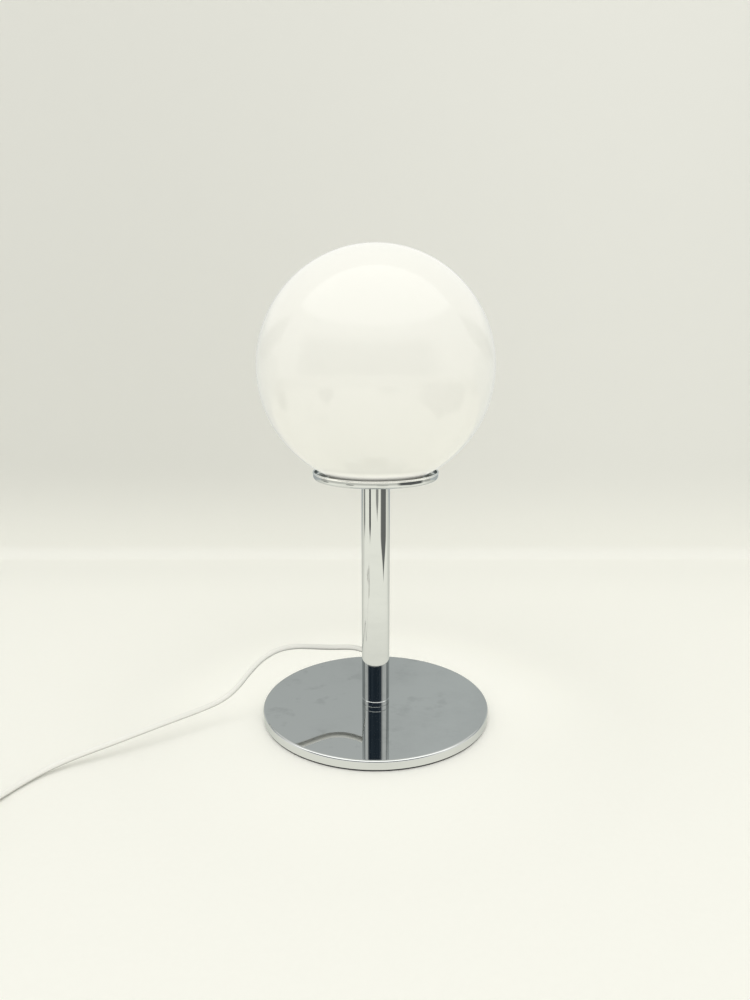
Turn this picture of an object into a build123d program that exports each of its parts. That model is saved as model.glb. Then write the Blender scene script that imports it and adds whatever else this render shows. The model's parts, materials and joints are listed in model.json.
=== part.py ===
from build123d import *
import os
from math import atan, cos, dist, pi, radians, sin, sqrt, tan

# Globe table lamp: an opal glass ball on a chromed stem and a weighted disc, with its mains cord.
# Millimetres, +Z up. The origin is the centre of the underside of the base.

os.makedirs("parts", exist_ok=True)

# Fits
press_clearance = 0.05       # inserts and pins that are pushed in
hole_clearance = 0.4         # screws and threaded tubes through plain holes
thread_clearance = 0.05      # a screw in its own thread, drawn plain
running_clearance = 0.05     # the rocker on its pin
globe_clearance = 0.4        # spring arms to the mouth of the globe
bulb_clearance = 0.35        # bulb cap to the screw shell

# Base
base_radius = 103.0
base_height = 9.3            # floor to the top of the cover
base_edge_radius = 2.0
cover_sheet = 1.2
pad_thickness = 1.7
pad_inset = 0.7
weight_gap = 0.4             # ballast to the skirt of the cover
weight_chamfer = 1.2

# Base screw
base_screw_radius = 4.0
base_screw_head_radius = 8.0
base_screw_rim = 0.6
base_screw_recess = 0.3      # head above the pad
base_screw_engagement = 16.0
base_screw_socket = 5.0      # across flats
base_screw_socket_depth = 2.8
countersink_clearance = 0.1

# Foot ring and stem
foot_ring_height = 4.6
foot_ring_edge = 0.35
spigot_height = 3.0
stem_radius = 12.5
stem_wall = 1.5
stem_length = 204.9
foot_insert_length = 20.0
top_insert_length = 18.0
insert_chamfer = 0.8

# Cord and the hole where it leaves the stem
cord_diameter = 5.0
cord_exit_height = 55.2
cord_exit_angle = 138.0      # degrees from +X: at the back, a little to the left
cord_bend_in_stem = 8.0
bush_flange_radius = 4.0
bush_proud = 1.0             # flange beyond the tube
bush_neck_radius = 3.3
bush_lip_radius = 3.8
bush_lip_length = 1.6
bush_clearance = 0.1
core_diameter = 1.8
core_offset = 1.25           # each core from the middle of the cord
core_bend_from = 0.40        # share of the way to the terminals where the cores part
core_bend_to = 0.68          # and where they run straight again

# Threaded nipple, washer and nut
nipple_radius = 5.0
nipple_wall = 1.5
nipple_engagement = 14.0     # in the top insert
nipple_in_cap = 8.0          # in the lampholder cap
washer_radius = 10.0
washer_thickness = 1.2
nut_across_flats = 14.0
nut_height = 4.0

# Gallery dish, gasket and globe spring
dish_radius = 54.3
dish_sheet = 1.0
dish_height = 6.7
dish_edge_radius = 3.2
lip_bead_radius = 0.85
gasket_thickness = 1.2
gasket_overhang = 3.0        # beyond the rim of the globe
spring_sheet = 0.8
spring_hub_radius = 13.0
spring_arm_width = 9.0
spring_arm_rise = 13.0
spring_knee = 0.55           # share of the rise where an arm grips
spring_arm_count = 3
spring_first_arm = 90.0      # degrees from +X

# Globe
globe_radius = 100.0
globe_wall = 3.0
globe_rim_radius = 38.0      # outside of the cut at the bottom
globe_mouth_radius = 35.0
globe_edge_radius = 0.6

# Lampholder
holder_gap = 0.3             # above the gallery nut
holder_radius = 20.7
holder_wall = 2.0
cap_boss_radius = 8.0
cap_boss_height = 5.0
cap_dome_height = 11.0
cap_height = 24.0
insert_thickness = 7.0
insert_ledge = 2.2           # insert over the rim of the cap
body_height = 35.0
body_collar_height = 11.0
body_top_radius = 18.6
body_lip = 2.0
shell_sheet = 0.45
shell_height = 23.0
shell_flange = 2.0
contact_sheet = 0.4
contact_width = 6.0
contact_rise = 3.6
terminal_size = 6.0
terminal_height = 5.0
terminal_offset = 9.0
terminal_screw_radius = 1.6
terminal_screw_length = 2.2
sheath_above_nipple = 1.5

# Bulb
bulb_cap_radius = 13.0
bulb_cap_length = 22.0
bulb_cap_sheet = 0.6
bulb_length = 105.0
bulb_radius = 30.0
bulb_wall = 1.2
bulb_neck_flare = 0.8        # housing beyond the cap
bulb_seam_below_centre = 15.5
bulb_tip_radius = 4.8
bulb_tip_height = 1.2
insulator_height = 3.2

# In-line switch, lying on the floor with its length along -Y
switch_inlet = (-288.0, -176.0)
switch_length = 60.0
switch_width = 24.0
switch_end_width = 12.0
switch_shoulder = 28.0       # length of the wide middle
switch_height = 15.0
switch_axis_height = 6.5     # cord axis and parting line
switch_wall = 1.8
switch_corner = 4.0
switch_top_fillet = 2.0
switch_bottom_fillet = 0.8
switch_cord_grip = 8.0       # cord inside the housing
rocker_reach = 9.0           # pivot to the ends of the rocker
rocker_width = 9.0
rocker_shoulder = 27.0       # degrees above the pivot to the upper corners
rocker_heel = 15.0           # degrees below the pivot to the lower corners
rocker_hollow = 0.9          # finger hollow along the top
rocker_keel = (4.0, 3.2)     # half length and depth of the flat underneath
rocker_tilt = 8.0            # degrees each way
rocker_pivot_drop = 3.0      # below the top of the switch
rocker_gap = 0.35
rocker_pin_radius = 1.0
rocker_lug = 2.4
rocker_lug_length = 5.0
post_radius = 2.6
post_place = (16.0, 6.4)
switch_screw_radius = 1.2
switch_screw_head = 2.2
switch_screw_head_height = 1.5
switch_screw_end_gap = 1.5   # screw tip to the top of its pilot hole
switch_terminal_place = 11.0
switch_terminal_size = (4.0, 6.0, 6.0)
blade_width = 4.0
blade_sheet = 0.4

# Coil of the cord that is put away, and its ties
coil_outer_radius = 38.5     # middle of the outermost turn
coil_pitch = 5.6             # from turn to turn and from layer to layer
coil_turns_in = 3
tie_sheet = 1.0
tie_width = 5.0
tie_gap = 0.4
tie_angles = (45.0, 225.0)   # degrees from +X

# Plug, lying on the floor with its pins along +Y
plug_face_width = 35.0
plug_face_height = 13.7
plug_face_corner = 5.0
plug_shoulder = 9.0
plug_waist = (19.0, 12.4)
plug_waist_corner = 5.2
plug_waist_at = 24.0
plug_neck_radius = 4.8
plug_neck_at = 36.0
plug_neck_corner = 4.7        # nearly round, where the body meets the strain relief
plug_relief_length = 20.0
plug_relief_tip_radius = 3.2
plug_groove_count = 4
plug_groove_width = 1.6
plug_groove_depth = 0.7
pin_spacing = 18.6
pin_radius = 2.0
pin_core_radius = 1.3
pin_length = 19.0
pin_sleeve_length = 10.0
pin_sleeve_radius = 1.7
tail_run = 13.0              # each of the three runs of cord from the coil to the plug

# Route of the cord outside the stem, from the bush to the switch.
# It comes out at the back, bends round to the left, arches over the edge of the plate and comes down.
lead_points = [
    (-10.03, 9.03, 55.2),
    (-14.86, 13.38, 55.2),
    (-20.81, 16.68, 55.0),
    (-28.02, 18.75, 54.4),
    (-37.0, 19.22, 54.0),
    (-47.9, 17.7, 54.8),
    (-61.2, 12.8, 57.5),
    (-75.0, 7.4, 60.1),
    (-89.5, 1.4, 59.5),
    (-103.0, -4.3, 53.2),
    (-114.5, -9.0, 42.2),
    (-125.0, -13.4, 29.0),
    (-137.5, -19.3, 19.8),
    (-154.0, -30.5, 16.6),
    (-173.0, -45.3, 15.4),
    (-195.0, -62.2, 13.6),
    (-219.0, -78.5, 10.6),
    (-243.0, -91.5, 6.8),
    (-261.5, -105.5, 3.6),
    (-273.5, -123.5, 2.6),
    (-281.0, -141.0, 2.9),
    (-286.0, -156.5, 5.0),
    (-288.0, -171.0, 6.5),
    (-288.0, -184.0, 6.5),
]

# Route from the switch to the coil.
link_points = [
    (-288.0, -228.0, 6.5),
    (-288.0, -241.5, 6.5),
    (-293.5, -253.3, 5.6),
    (-303.5, -261.7, 4.7),
    (-316.7, -266.5, 4.1),
    (-330.6, -268.2, 3.9),
    (-343.6, -268.2, 3.9),
]

# Heights and places that follow from the sizes above
weight_top = base_height - cover_sheet
ring_top = base_height + foot_ring_height
stem_top = ring_top + stem_length
stem_bore = stem_radius - stem_wall
dish_floor = stem_top + dish_sheet
plate_radius = dish_radius - dish_edge_radius
globe_seat = dish_floor + gasket_thickness
globe_centre = globe_seat + sqrt(globe_radius**2 - globe_rim_radius**2)
spring_top = dish_floor + spring_sheet
nut_bottom = spring_top + washer_thickness
nut_top = nut_bottom + nut_height
cap_bottom = nut_top + holder_gap
cap_top = cap_bottom + cap_height
nipple_hole = nipple_radius + hole_clearance
nipple_top = cap_bottom + nipple_in_cap
sheath_top = nipple_top + sheath_above_nipple
insert_top = cap_top + insert_thickness
cord_radius = cord_diameter / 2
exit_direction = Vector(cos(radians(cord_exit_angle)), sin(radians(cord_exit_angle)), 0)
exit_reach = stem_radius + bush_proud
exit_plane = Plane(origin=(0, 0, cord_exit_height), x_dir=(0, 0, 1), z_dir=exit_direction)


def corner_radii(points):
    """At each corner, 0.45 of the shorter run beside it over the tangent of half the turn."""
    radii = []
    for before, corner, after in zip(points, points[1:], points[2:]):
        run_in = Vector(*corner) - Vector(*before)
        run_out = Vector(*after) - Vector(*corner)
        half_turn = radians(run_in.get_angle(run_out)) / 2
        radii.append(0.45 * min(run_in.length, run_out.length) / tan(half_turn))
    return radii


def round_bar(points, radii, diameter):
    """A round cord or wire along straight runs joined by tangent arcs."""
    with BuildPart() as bar:
        with BuildLine() as route:
            FilletPolyline(*points, radius=radii)
        with BuildSketch(Plane(route.line @ 0, z_dir=route.line % 0)):
            Circle(diameter / 2)
        sweep()
    length = sum(edge.length for edge in route.edges())
    share = bar.part.volume / (pi * diameter**2 / 4 * length)
    print(f"round bar: length {length:.1f}, volume over section times length {share:.4f}")
    return bar


# Base
with BuildPart() as base_pad:
    with BuildSketch():
        Circle(base_radius - pad_inset)
    extrude(amount=pad_thickness)

screw_head_bottom = pad_thickness + base_screw_recess
screw_cone_bottom = screw_head_bottom + base_screw_rim
screw_cone_top = screw_cone_bottom + base_screw_head_radius - base_screw_radius
screw_hole_radius = base_screw_radius + hole_clearance
foot_insert_bottom = ring_top + spigot_height
screw_tip = foot_insert_bottom + base_screw_engagement

with BuildPart() as base_weight:
    weight_radius = base_radius - cover_sheet - weight_gap
    seat_radius = base_screw_head_radius + countersink_clearance
    mouth_radius = seat_radius + screw_cone_bottom - pad_thickness
    with BuildSketch(Plane.XZ):
        with BuildLine():
            Polyline(
                (mouth_radius, pad_thickness),
                (weight_radius, pad_thickness),
                (weight_radius, weight_top - weight_chamfer),
                (weight_radius - weight_chamfer, weight_top),
                (screw_hole_radius, weight_top),
                (screw_hole_radius, pad_thickness + mouth_radius - screw_hole_radius),
                close=True,
            )
        make_face()
    revolve(axis=Axis.Z)

with BuildPart() as base_cover:
    with BuildSketch():
        Circle(base_radius)
    extrude(amount=base_height - pad_thickness)
    fillet(base_cover.edges().group_by(Axis.Z)[-1], base_edge_radius)
    offset(amount=-cover_sheet, openings=base_cover.faces().sort_by(Axis.Z)[0])
    Cylinder(screw_hole_radius, 4 * base_height, mode=Mode.SUBTRACT)
base_cover.part.position = (0, 0, pad_thickness)

with BuildPart() as foot_ring:
    with BuildSketch(Plane.XY.offset(base_height)):
        Circle(stem_radius)
    extrude(amount=foot_ring_height)
    chamfer(foot_ring.edges(), foot_ring_edge)
    with BuildSketch(Plane.XY.offset(ring_top)):
        Circle(stem_bore - press_clearance)
    extrude(amount=spigot_height)
    chamfer(foot_ring.edges().group_by(Axis.Z)[-1], insert_chamfer)
    with BuildSketch(Plane.XY.offset(base_height)):
        Circle(screw_hole_radius)
    extrude(amount=foot_ring_height + spigot_height, mode=Mode.SUBTRACT)

with BuildPart() as base_screw:
    with BuildSketch(Plane.XZ):
        with BuildLine():
            Polyline(
                (0, screw_head_bottom),
                (base_screw_head_radius, screw_head_bottom),
                (base_screw_head_radius, screw_cone_bottom),
                (base_screw_radius, screw_cone_top),
                (base_screw_radius, screw_tip - insert_chamfer),
                (base_screw_radius - insert_chamfer, screw_tip),
                (0, screw_tip),
                close=True,
            )
        make_face()
    revolve(axis=Axis.Z)
    with BuildSketch(Plane.XY.offset(screw_head_bottom)):
        RegularPolygon(base_screw_socket / 2, 6, major_radius=False)
    extrude(amount=base_screw_socket_depth, mode=Mode.SUBTRACT)

# Stem
with BuildPart() as stem_tube:
    with BuildSketch(Plane.XY.offset(ring_top)):
        Circle(stem_radius)
        Circle(stem_bore, mode=Mode.SUBTRACT)
    extrude(amount=stem_length)
    with BuildSketch(exit_plane):
        Circle(bush_neck_radius + bush_clearance)
    extrude(amount=2 * stem_radius, mode=Mode.SUBTRACT)


def stem_insert(bottom, length, bore):
    """A turned plug that is pressed into one end of the tube."""
    with BuildPart() as plug:
        with BuildSketch(Plane.XY.offset(bottom)):
            Circle(stem_bore - press_clearance)
        extrude(amount=length)
        chamfer(plug.edges(), insert_chamfer)
        with BuildSketch(Plane.XY.offset(bottom)):
            Circle(bore)
        extrude(amount=length, mode=Mode.SUBTRACT)
    return plug


stem_foot_insert = stem_insert(
    foot_insert_bottom, foot_insert_length, base_screw_radius + thread_clearance
)
stem_top_insert = stem_insert(
    stem_top - top_insert_length, top_insert_length, nipple_radius + thread_clearance
)

with BuildPart() as nipple:
    nipple_bottom = stem_top - nipple_engagement
    with BuildSketch(Plane.XY.offset(nipple_bottom)):
        Circle(nipple_radius)
    extrude(amount=nipple_top - nipple_bottom)
    chamfer(nipple.edges(), insert_chamfer)
    with BuildSketch(Plane.XY.offset(nipple_bottom)):
        Circle(nipple_radius - nipple_wall)
    extrude(amount=nipple_top - nipple_bottom, mode=Mode.SUBTRACT)

# Cord bush, and the cord inside the stem
with BuildPart() as cord_bush:
    lip_outer_face = sqrt(stem_bore**2 - bush_lip_radius**2) - bush_clearance
    lip_inner_face = lip_outer_face - bush_lip_length
    with BuildSketch(exit_plane):
        Circle(bush_flange_radius)
    extrude(amount=exit_reach)
    chamfer(cord_bush.faces().sort_by(Axis((0, 0, 0), exit_direction))[-1].edges(), bush_proud / 3)
    Cylinder(stem_radius, 4 * cord_exit_height, mode=Mode.SUBTRACT)
    with BuildSketch(exit_plane.offset(lip_inner_face)):
        Circle(bush_neck_radius)
    extrude(amount=exit_reach - lip_inner_face - bush_proud / 2)
    with BuildSketch(exit_plane.offset(lip_inner_face)):
        Circle(bush_lip_radius)
    extrude(amount=bush_lip_length)
    with BuildSketch(exit_plane):
        Circle(cord_radius + bush_clearance)
    extrude(amount=2 * stem_radius, mode=Mode.SUBTRACT)

exit_point = exit_plane.from_local_coords((0, 0, exit_reach))
stem_cord = round_bar(
    [exit_point, (0, 0, cord_exit_height), (0, 0, sheath_top)], [cord_bend_in_stem], cord_diameter
)


def core_points(side):
    """From the end of the sheath up and out to the terminal block on that side."""
    block_bottom = cap_top - terminal_height
    first_bend = sheath_top + core_bend_from * (block_bottom - sheath_top)
    last_bend = sheath_top + core_bend_to * (block_bottom - sheath_top)
    return [
        (side * core_offset, 0, sheath_top),
        (side * core_offset, 0, first_bend),
        (side * terminal_offset, 0, last_bend),
        (side * terminal_offset, 0, block_bottom),
    ]


wire_live = round_bar(core_points(1), corner_radii(core_points(1)), core_diameter)
wire_neutral = round_bar(core_points(-1), corner_radii(core_points(-1)), core_diameter)

# Gallery: a flat plate with a curled-up rim brazed round it
with BuildPart() as gallery_plate:
    with BuildSketch(Plane.XY.offset(stem_top)):
        Circle(plate_radius)
        Circle(nipple_hole, mode=Mode.SUBTRACT)
    extrude(amount=dish_sheet)

with BuildPart() as gallery_rim:
    wall_top = stem_top + dish_height - lip_bead_radius
    inner_edge = dish_edge_radius - dish_sheet
    with BuildSketch(Plane.XZ):
        with BuildLine():
            floor_end = (plate_radius, stem_top)
            wall_start = (dish_radius, stem_top + dish_edge_radius)
            inner_wall_end = (dish_radius - dish_sheet, dish_floor + inner_edge)
            inner_floor_end = (plate_radius, dish_floor)
            RadiusArc(floor_end, wall_start, -dish_edge_radius)
            Polyline(
                wall_start,
                (dish_radius, wall_top),
                (dish_radius - dish_sheet, wall_top),
                inner_wall_end,
            )
            RadiusArc(inner_wall_end, inner_floor_end, inner_edge)
            Line(inner_floor_end, floor_end)
        make_face()
        with Locations((dish_radius - dish_sheet / 2, wall_top)):
            Circle(lip_bead_radius)
    revolve(axis=Axis.Z)

with BuildPart() as gallery_gasket:
    with BuildSketch(Plane.XY.offset(dish_floor)):
        Circle(globe_rim_radius + gasket_overhang)
        Circle(globe_mouth_radius + globe_clearance, mode=Mode.SUBTRACT)
    extrude(amount=gasket_thickness)

with BuildPart() as globe_spring:
    grip_radius = globe_mouth_radius - globe_clearance - spring_sheet / 2
    with BuildSketch(Plane.XY.offset(dish_floor)):
        Circle(spring_hub_radius)
        Circle(nipple_hole, mode=Mode.SUBTRACT)
    extrude(amount=spring_sheet)
    for arm in range(spring_arm_count):
        turn = radians(spring_first_arm + arm * 360 / spring_arm_count)
        arm_plane = Plane(
            origin=(0, 0, dish_floor + spring_sheet / 2),
            x_dir=(cos(turn), sin(turn), 0),
            z_dir=(sin(turn), -cos(turn), 0),
        )
        with BuildLine(arm_plane) as arm_line:
            FilletPolyline(
                (spring_hub_radius - 2 * spring_sheet, 0),
                (grip_radius - spring_sheet, 0),
                (grip_radius, spring_knee * spring_arm_rise),
                (grip_radius - 3 * spring_sheet, spring_arm_rise),
                radius=[2 * spring_sheet, 3 * spring_sheet],
            )
        with BuildSketch(Plane(arm_line.line @ 0, x_dir=arm_plane.z_dir, z_dir=arm_line.line % 0)):
            Rectangle(spring_arm_width, spring_sheet)
        sweep()

with BuildPart() as gallery_washer:
    with BuildSketch(Plane.XY.offset(spring_top)):
        Circle(washer_radius)
        Circle(nipple_hole, mode=Mode.SUBTRACT)
    extrude(amount=washer_thickness)

with BuildPart() as gallery_nut:
    with BuildSketch(Plane.XY.offset(nut_bottom)):
        RegularPolygon(nut_across_flats / 2, 6, major_radius=False)
        Circle(nipple_radius + thread_clearance, mode=Mode.SUBTRACT)
    extrude(amount=nut_height)

# Globe
with BuildPart() as globe:
    inner_radius = globe_radius - globe_wall
    mouth_top = globe_centre - sqrt(inner_radius**2 - globe_mouth_radius**2)
    with BuildSketch(Plane.XZ):
        with BuildLine():
            outer_top = (0, globe_centre + globe_radius)
            inner_top = (0, globe_centre + inner_radius)
            ThreePointArc((globe_rim_radius, globe_seat), (globe_radius, globe_centre), outer_top)
            Line(outer_top, inner_top)
            ThreePointArc(inner_top, (inner_radius, globe_centre), (globe_mouth_radius, mouth_top))
            Polyline(
                (globe_mouth_radius, mouth_top),
                (globe_mouth_radius, globe_seat),
                (globe_rim_radius, globe_seat),
            )
        make_face()
    revolve(axis=Axis.Z)
    fillet(globe.edges().group_by(Axis.Z)[0], globe_edge_radius)

# Lampholder
with BuildPart() as holder_cap:
    dome_top = cap_bottom + cap_boss_height + cap_dome_height
    with BuildSketch(Plane.XZ) as cap_profile:
        with BuildLine():
            Polyline(
                (nipple_radius + thread_clearance, cap_bottom),
                (cap_boss_radius, cap_bottom),
                (cap_boss_radius, cap_bottom + cap_boss_height),
                (holder_radius, dome_top),
                (holder_radius, cap_top),
                (holder_radius - holder_wall, cap_top),
                (holder_radius - holder_wall, dome_top + holder_wall / 2),
                (cap_boss_radius, nipple_top),
                (nipple_radius + thread_clearance, nipple_top),
                close=True,
            )
        make_face()
        outermost_corners = cap_profile.vertices().group_by(Axis.X)[-1]
        fillet(outermost_corners.sort_by(Axis.Y)[0], cap_dome_height / 2)
    revolve(axis=Axis.Z)

with BuildPart() as holder_insert:
    insert_radius = holder_radius - holder_wall + insert_ledge / 2
    with BuildSketch(Plane.XY.offset(cap_top)):
        Circle(insert_radius)
    extrude(amount=insert_thickness)
    chamfer(holder_insert.edges().group_by(Axis.Z)[-1], insert_chamfer)

with BuildPart() as holder_body:
    body_top = cap_top + body_height
    body_wall = insert_ledge / 2
    body_bore = bulb_cap_radius + bulb_clearance + shell_sheet + shell_flange + hole_clearance
    mouth_bore = bulb_cap_radius + bulb_neck_flare + bulb_clearance
    with BuildSketch(Plane.XZ):
        with BuildLine():
            Polyline(
                (insert_radius + press_clearance, cap_top),
                (holder_radius + body_wall, cap_top),
                (holder_radius + body_wall, cap_top + body_collar_height),
                (body_top_radius, body_top),
                (mouth_bore, body_top),
                (mouth_bore, body_top - body_lip),
                (body_bore, body_top - body_lip),
                (body_bore, insert_top),
                (insert_radius + press_clearance, insert_top),
                close=True,
            )
        make_face()
    revolve(axis=Axis.Z)
    fillet(holder_body.edges().group_by(Axis.Z)[-1].sort_by(SortBy.RADIUS)[-1], body_lip / 2)

with BuildPart() as screw_shell:
    shell_bore = bulb_cap_radius + bulb_clearance
    with BuildSketch(Plane.XZ):
        with BuildLine():
            Polyline(
                (shell_bore - shell_flange, insert_top),
                (shell_bore + shell_sheet + shell_flange, insert_top),
                (shell_bore + shell_sheet + shell_flange, insert_top + shell_sheet),
                (shell_bore + shell_sheet, insert_top + shell_sheet),
                (shell_bore + shell_sheet, insert_top + shell_height),
                (shell_bore, insert_top + shell_height),
                (shell_bore, insert_top + shell_sheet),
                (shell_bore - shell_flange, insert_top + shell_sheet),
                close=True,
            )
        make_face()
    revolve(axis=Axis.Z)

with BuildPart() as centre_contact:
    contact_top = insert_top + contact_rise
    leaf_half = contact_sheet / 2
    with BuildLine(Plane.XZ) as leaf_line:
        FilletPolyline(
            (-bulb_tip_radius - 2 * contact_rise / 3, insert_top + leaf_half),
            (-bulb_tip_radius / 2 - 1, insert_top + leaf_half),
            (-bulb_tip_radius / 2, contact_top - leaf_half),
            (bulb_tip_radius / 2, contact_top - leaf_half),
            radius=2 * contact_sheet,
        )
    with BuildSketch(Plane(leaf_line.line @ 0, x_dir=(0, 1, 0), z_dir=leaf_line.line % 0)):
        Rectangle(contact_width, contact_sheet)
    sweep()

with BuildPart() as terminal_blocks:
    with BuildSketch(Plane.XY.offset(cap_top - terminal_height)):
        with Locations((terminal_offset, 0), (-terminal_offset, 0)):
            Rectangle(terminal_size, terminal_size)
    extrude(amount=terminal_height)

with BuildPart() as terminal_screws:
    for side in (1, -1):
        block_face = Plane(
            origin=(side * (terminal_offset + terminal_size / 2), 0, cap_top - terminal_height / 2),
            z_dir=(side, 0, 0),
        )
        with BuildSketch(block_face):
            Circle(terminal_screw_radius)
        extrude(amount=terminal_screw_length)

# Bulb
bulb_bottom = contact_top
cap_start = bulb_bottom + bulb_tip_height + insulator_height
cap_end = cap_start + bulb_cap_length
bulb_top = bulb_bottom + bulb_length
bulb_centre = bulb_top - bulb_radius
seam_height = bulb_centre - bulb_seam_below_centre
seam_radius = sqrt(bulb_radius**2 - bulb_seam_below_centre**2)
neck_radius = bulb_cap_radius + bulb_neck_flare

with BuildPart() as bulb_contact:
    with BuildSketch(Plane.XY.offset(bulb_bottom)):
        Circle(bulb_tip_radius)
    extrude(amount=bulb_tip_height)
    fillet(bulb_contact.edges().group_by(Axis.Z)[0], bulb_tip_height / 3)

with BuildPart() as bulb_insulator:
    with BuildSketch(Plane.XZ):
        with BuildLine():
            Polyline(
                (0, cap_start - insulator_height),
                (bulb_tip_radius, cap_start - insulator_height),
                (bulb_cap_radius - bulb_cap_sheet, cap_start),
                (0, cap_start),
                close=True,
            )
        make_face()
    revolve(axis=Axis.Z)

with BuildPart() as bulb_cap:
    with BuildSketch(Plane.XY.offset(cap_start)):
        Circle(bulb_cap_radius)
        Circle(bulb_cap_radius - bulb_cap_sheet, mode=Mode.SUBTRACT)
    extrude(amount=bulb_cap_length)

with BuildPart() as bulb_housing:
    inside = bulb_radius - bulb_wall
    seam_inner = seam_radius * inside / bulb_radius
    with BuildSketch(Plane.XZ):
        with BuildLine():
            outer_neck = (neck_radius, cap_end)
            inner_neck = (neck_radius - bulb_wall, cap_end)
            down_the_ball = (-bulb_seam_below_centre, -seam_radius)
            TangentArc((seam_radius, seam_height), outer_neck, tangent=down_the_ball)
            Line(outer_neck, inner_neck)
            TangentArc((seam_inner, seam_height), inner_neck, tangent=down_the_ball)
            Line((seam_inner, seam_height), (seam_radius, seam_height))
        make_face()
    revolve(axis=Axis.Z)

with BuildPart() as bulb_diffuser:
    inner_drop = sqrt(inside**2 - seam_inner**2)
    with BuildSketch(Plane.XZ):
        with BuildLine():
            ThreePointArc((seam_radius, seam_height), (bulb_radius, bulb_centre), (0, bulb_top))
            Line((0, bulb_top), (0, bulb_top - bulb_wall))
            ThreePointArc(
                (0, bulb_top - bulb_wall), (inside, bulb_centre), (seam_inner, bulb_centre - inner_drop)
            )
            Polyline(
                (seam_inner, bulb_centre - inner_drop), (seam_inner, seam_height), (seam_radius, seam_height)
            )
        make_face()
    revolve(axis=Axis.Z)

# In-line switch. In its own plane X runs along the cord and Y across it.
switch_middle = switch_inlet[1] - switch_length / 2
switch_plane = Plane(origin=(switch_inlet[0], switch_middle, 0), x_dir=(0, -1, 0), z_dir=(0, 0, 1))
switch_cavity_top = switch_height - switch_wall
pivot_height = switch_height - rocker_pivot_drop
opening_half_width = rocker_width / 2 + rocker_gap
post_places = [post_place, (-post_place[0], -post_place[1])]


def switch_outline(inset):
    """Wide middle, tapered towards the cord at both ends, with rounded corners."""
    half_length = switch_length / 2 - inset
    half_end = switch_end_width / 2 - inset
    half_width = switch_width / 2 - inset
    half_shoulder = switch_shoulder / 2
    corners = [
        (half_length, half_end),
        (half_shoulder, half_width),
        (-half_shoulder, half_width),
        (-half_length, half_end),
    ]
    mirrored = [(x, -y) for x, y in reversed(corners)]
    with BuildSketch() as outline:
        with BuildLine():
            Polyline(*corners, *mirrored, close=True)
        make_face()
        fillet(outline.vertices(), switch_corner - inset)
    return outline.sketch


def switch_level(height):
    """The switch plane at a height above the floor."""
    return switch_plane.offset(height)


with BuildPart() as switch_base:
    with BuildSketch(switch_level(0)):
        add(switch_outline(0))
    extrude(amount=switch_axis_height)
    fillet(switch_base.edges().group_by(Axis.Z)[0], switch_bottom_fillet)
    with BuildSketch(switch_level(switch_wall)):
        add(switch_outline(switch_wall))
    extrude(amount=switch_height, mode=Mode.SUBTRACT)
    with BuildSketch(switch_level(switch_wall)):
        with Locations(*post_places):
            Circle(post_radius)
    extrude(amount=switch_axis_height - switch_wall)
    with BuildSketch(switch_level(0)):
        with Locations(*post_places):
            Circle(switch_screw_radius + press_clearance)
    extrude(amount=switch_height, mode=Mode.SUBTRACT)
    with BuildSketch(switch_level(0)):
        with Locations(*post_places):
            Circle(switch_screw_head + hole_clearance / 2)
    extrude(amount=2 * switch_screw_head_height, mode=Mode.SUBTRACT)
    with BuildSketch(Plane(switch_level(switch_axis_height).origin, z_dir=(0, 1, 0))):
        Circle(cord_radius + bush_clearance)
    extrude(amount=switch_length, both=True, mode=Mode.SUBTRACT)

with BuildPart() as switch_cover:
    with BuildSketch(switch_level(switch_axis_height)):
        add(switch_outline(0))
    extrude(amount=switch_height - switch_axis_height)
    fillet(switch_cover.edges().group_by(Axis.Z)[-1], switch_top_fillet)
    with BuildSketch(switch_level(switch_axis_height)):
        add(switch_outline(switch_wall))
    extrude(amount=switch_cavity_top - switch_axis_height, mode=Mode.SUBTRACT)
    with BuildSketch(switch_level(switch_axis_height)):
        with Locations(*post_places):
            Circle(post_radius)
    extrude(amount=switch_cavity_top - switch_axis_height)
    with BuildSketch(switch_level(switch_axis_height)):
        with Locations(*post_places):
            Circle(switch_screw_radius + thread_clearance)
    extrude(amount=switch_cavity_top - switch_axis_height, mode=Mode.SUBTRACT)
    lug_place = opening_half_width + rocker_lug / 2
    lug_bottom = pivot_height - rocker_lug
    with BuildSketch(switch_level(lug_bottom)):
        with Locations((0, lug_place), (0, -lug_place)):
            Rectangle(rocker_lug_length, rocker_lug)
    extrude(amount=switch_cavity_top - lug_bottom)
    with BuildSketch(switch_level(switch_axis_height)):
        Rectangle(2 * (rocker_reach + rocker_gap), 2 * opening_half_width)
    extrude(amount=switch_height, mode=Mode.SUBTRACT)
    with BuildSketch(Plane(switch_level(pivot_height).origin, z_dir=(1, 0, 0))):
        Circle(rocker_pin_radius + press_clearance)
    extrude(amount=opening_half_width + rocker_lug, both=True, mode=Mode.SUBTRACT)
    with BuildSketch(Plane(switch_level(switch_axis_height).origin, z_dir=(0, 1, 0))):
        Circle(cord_radius + bush_clearance)
    extrude(amount=switch_length, both=True, mode=Mode.SUBTRACT)

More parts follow.
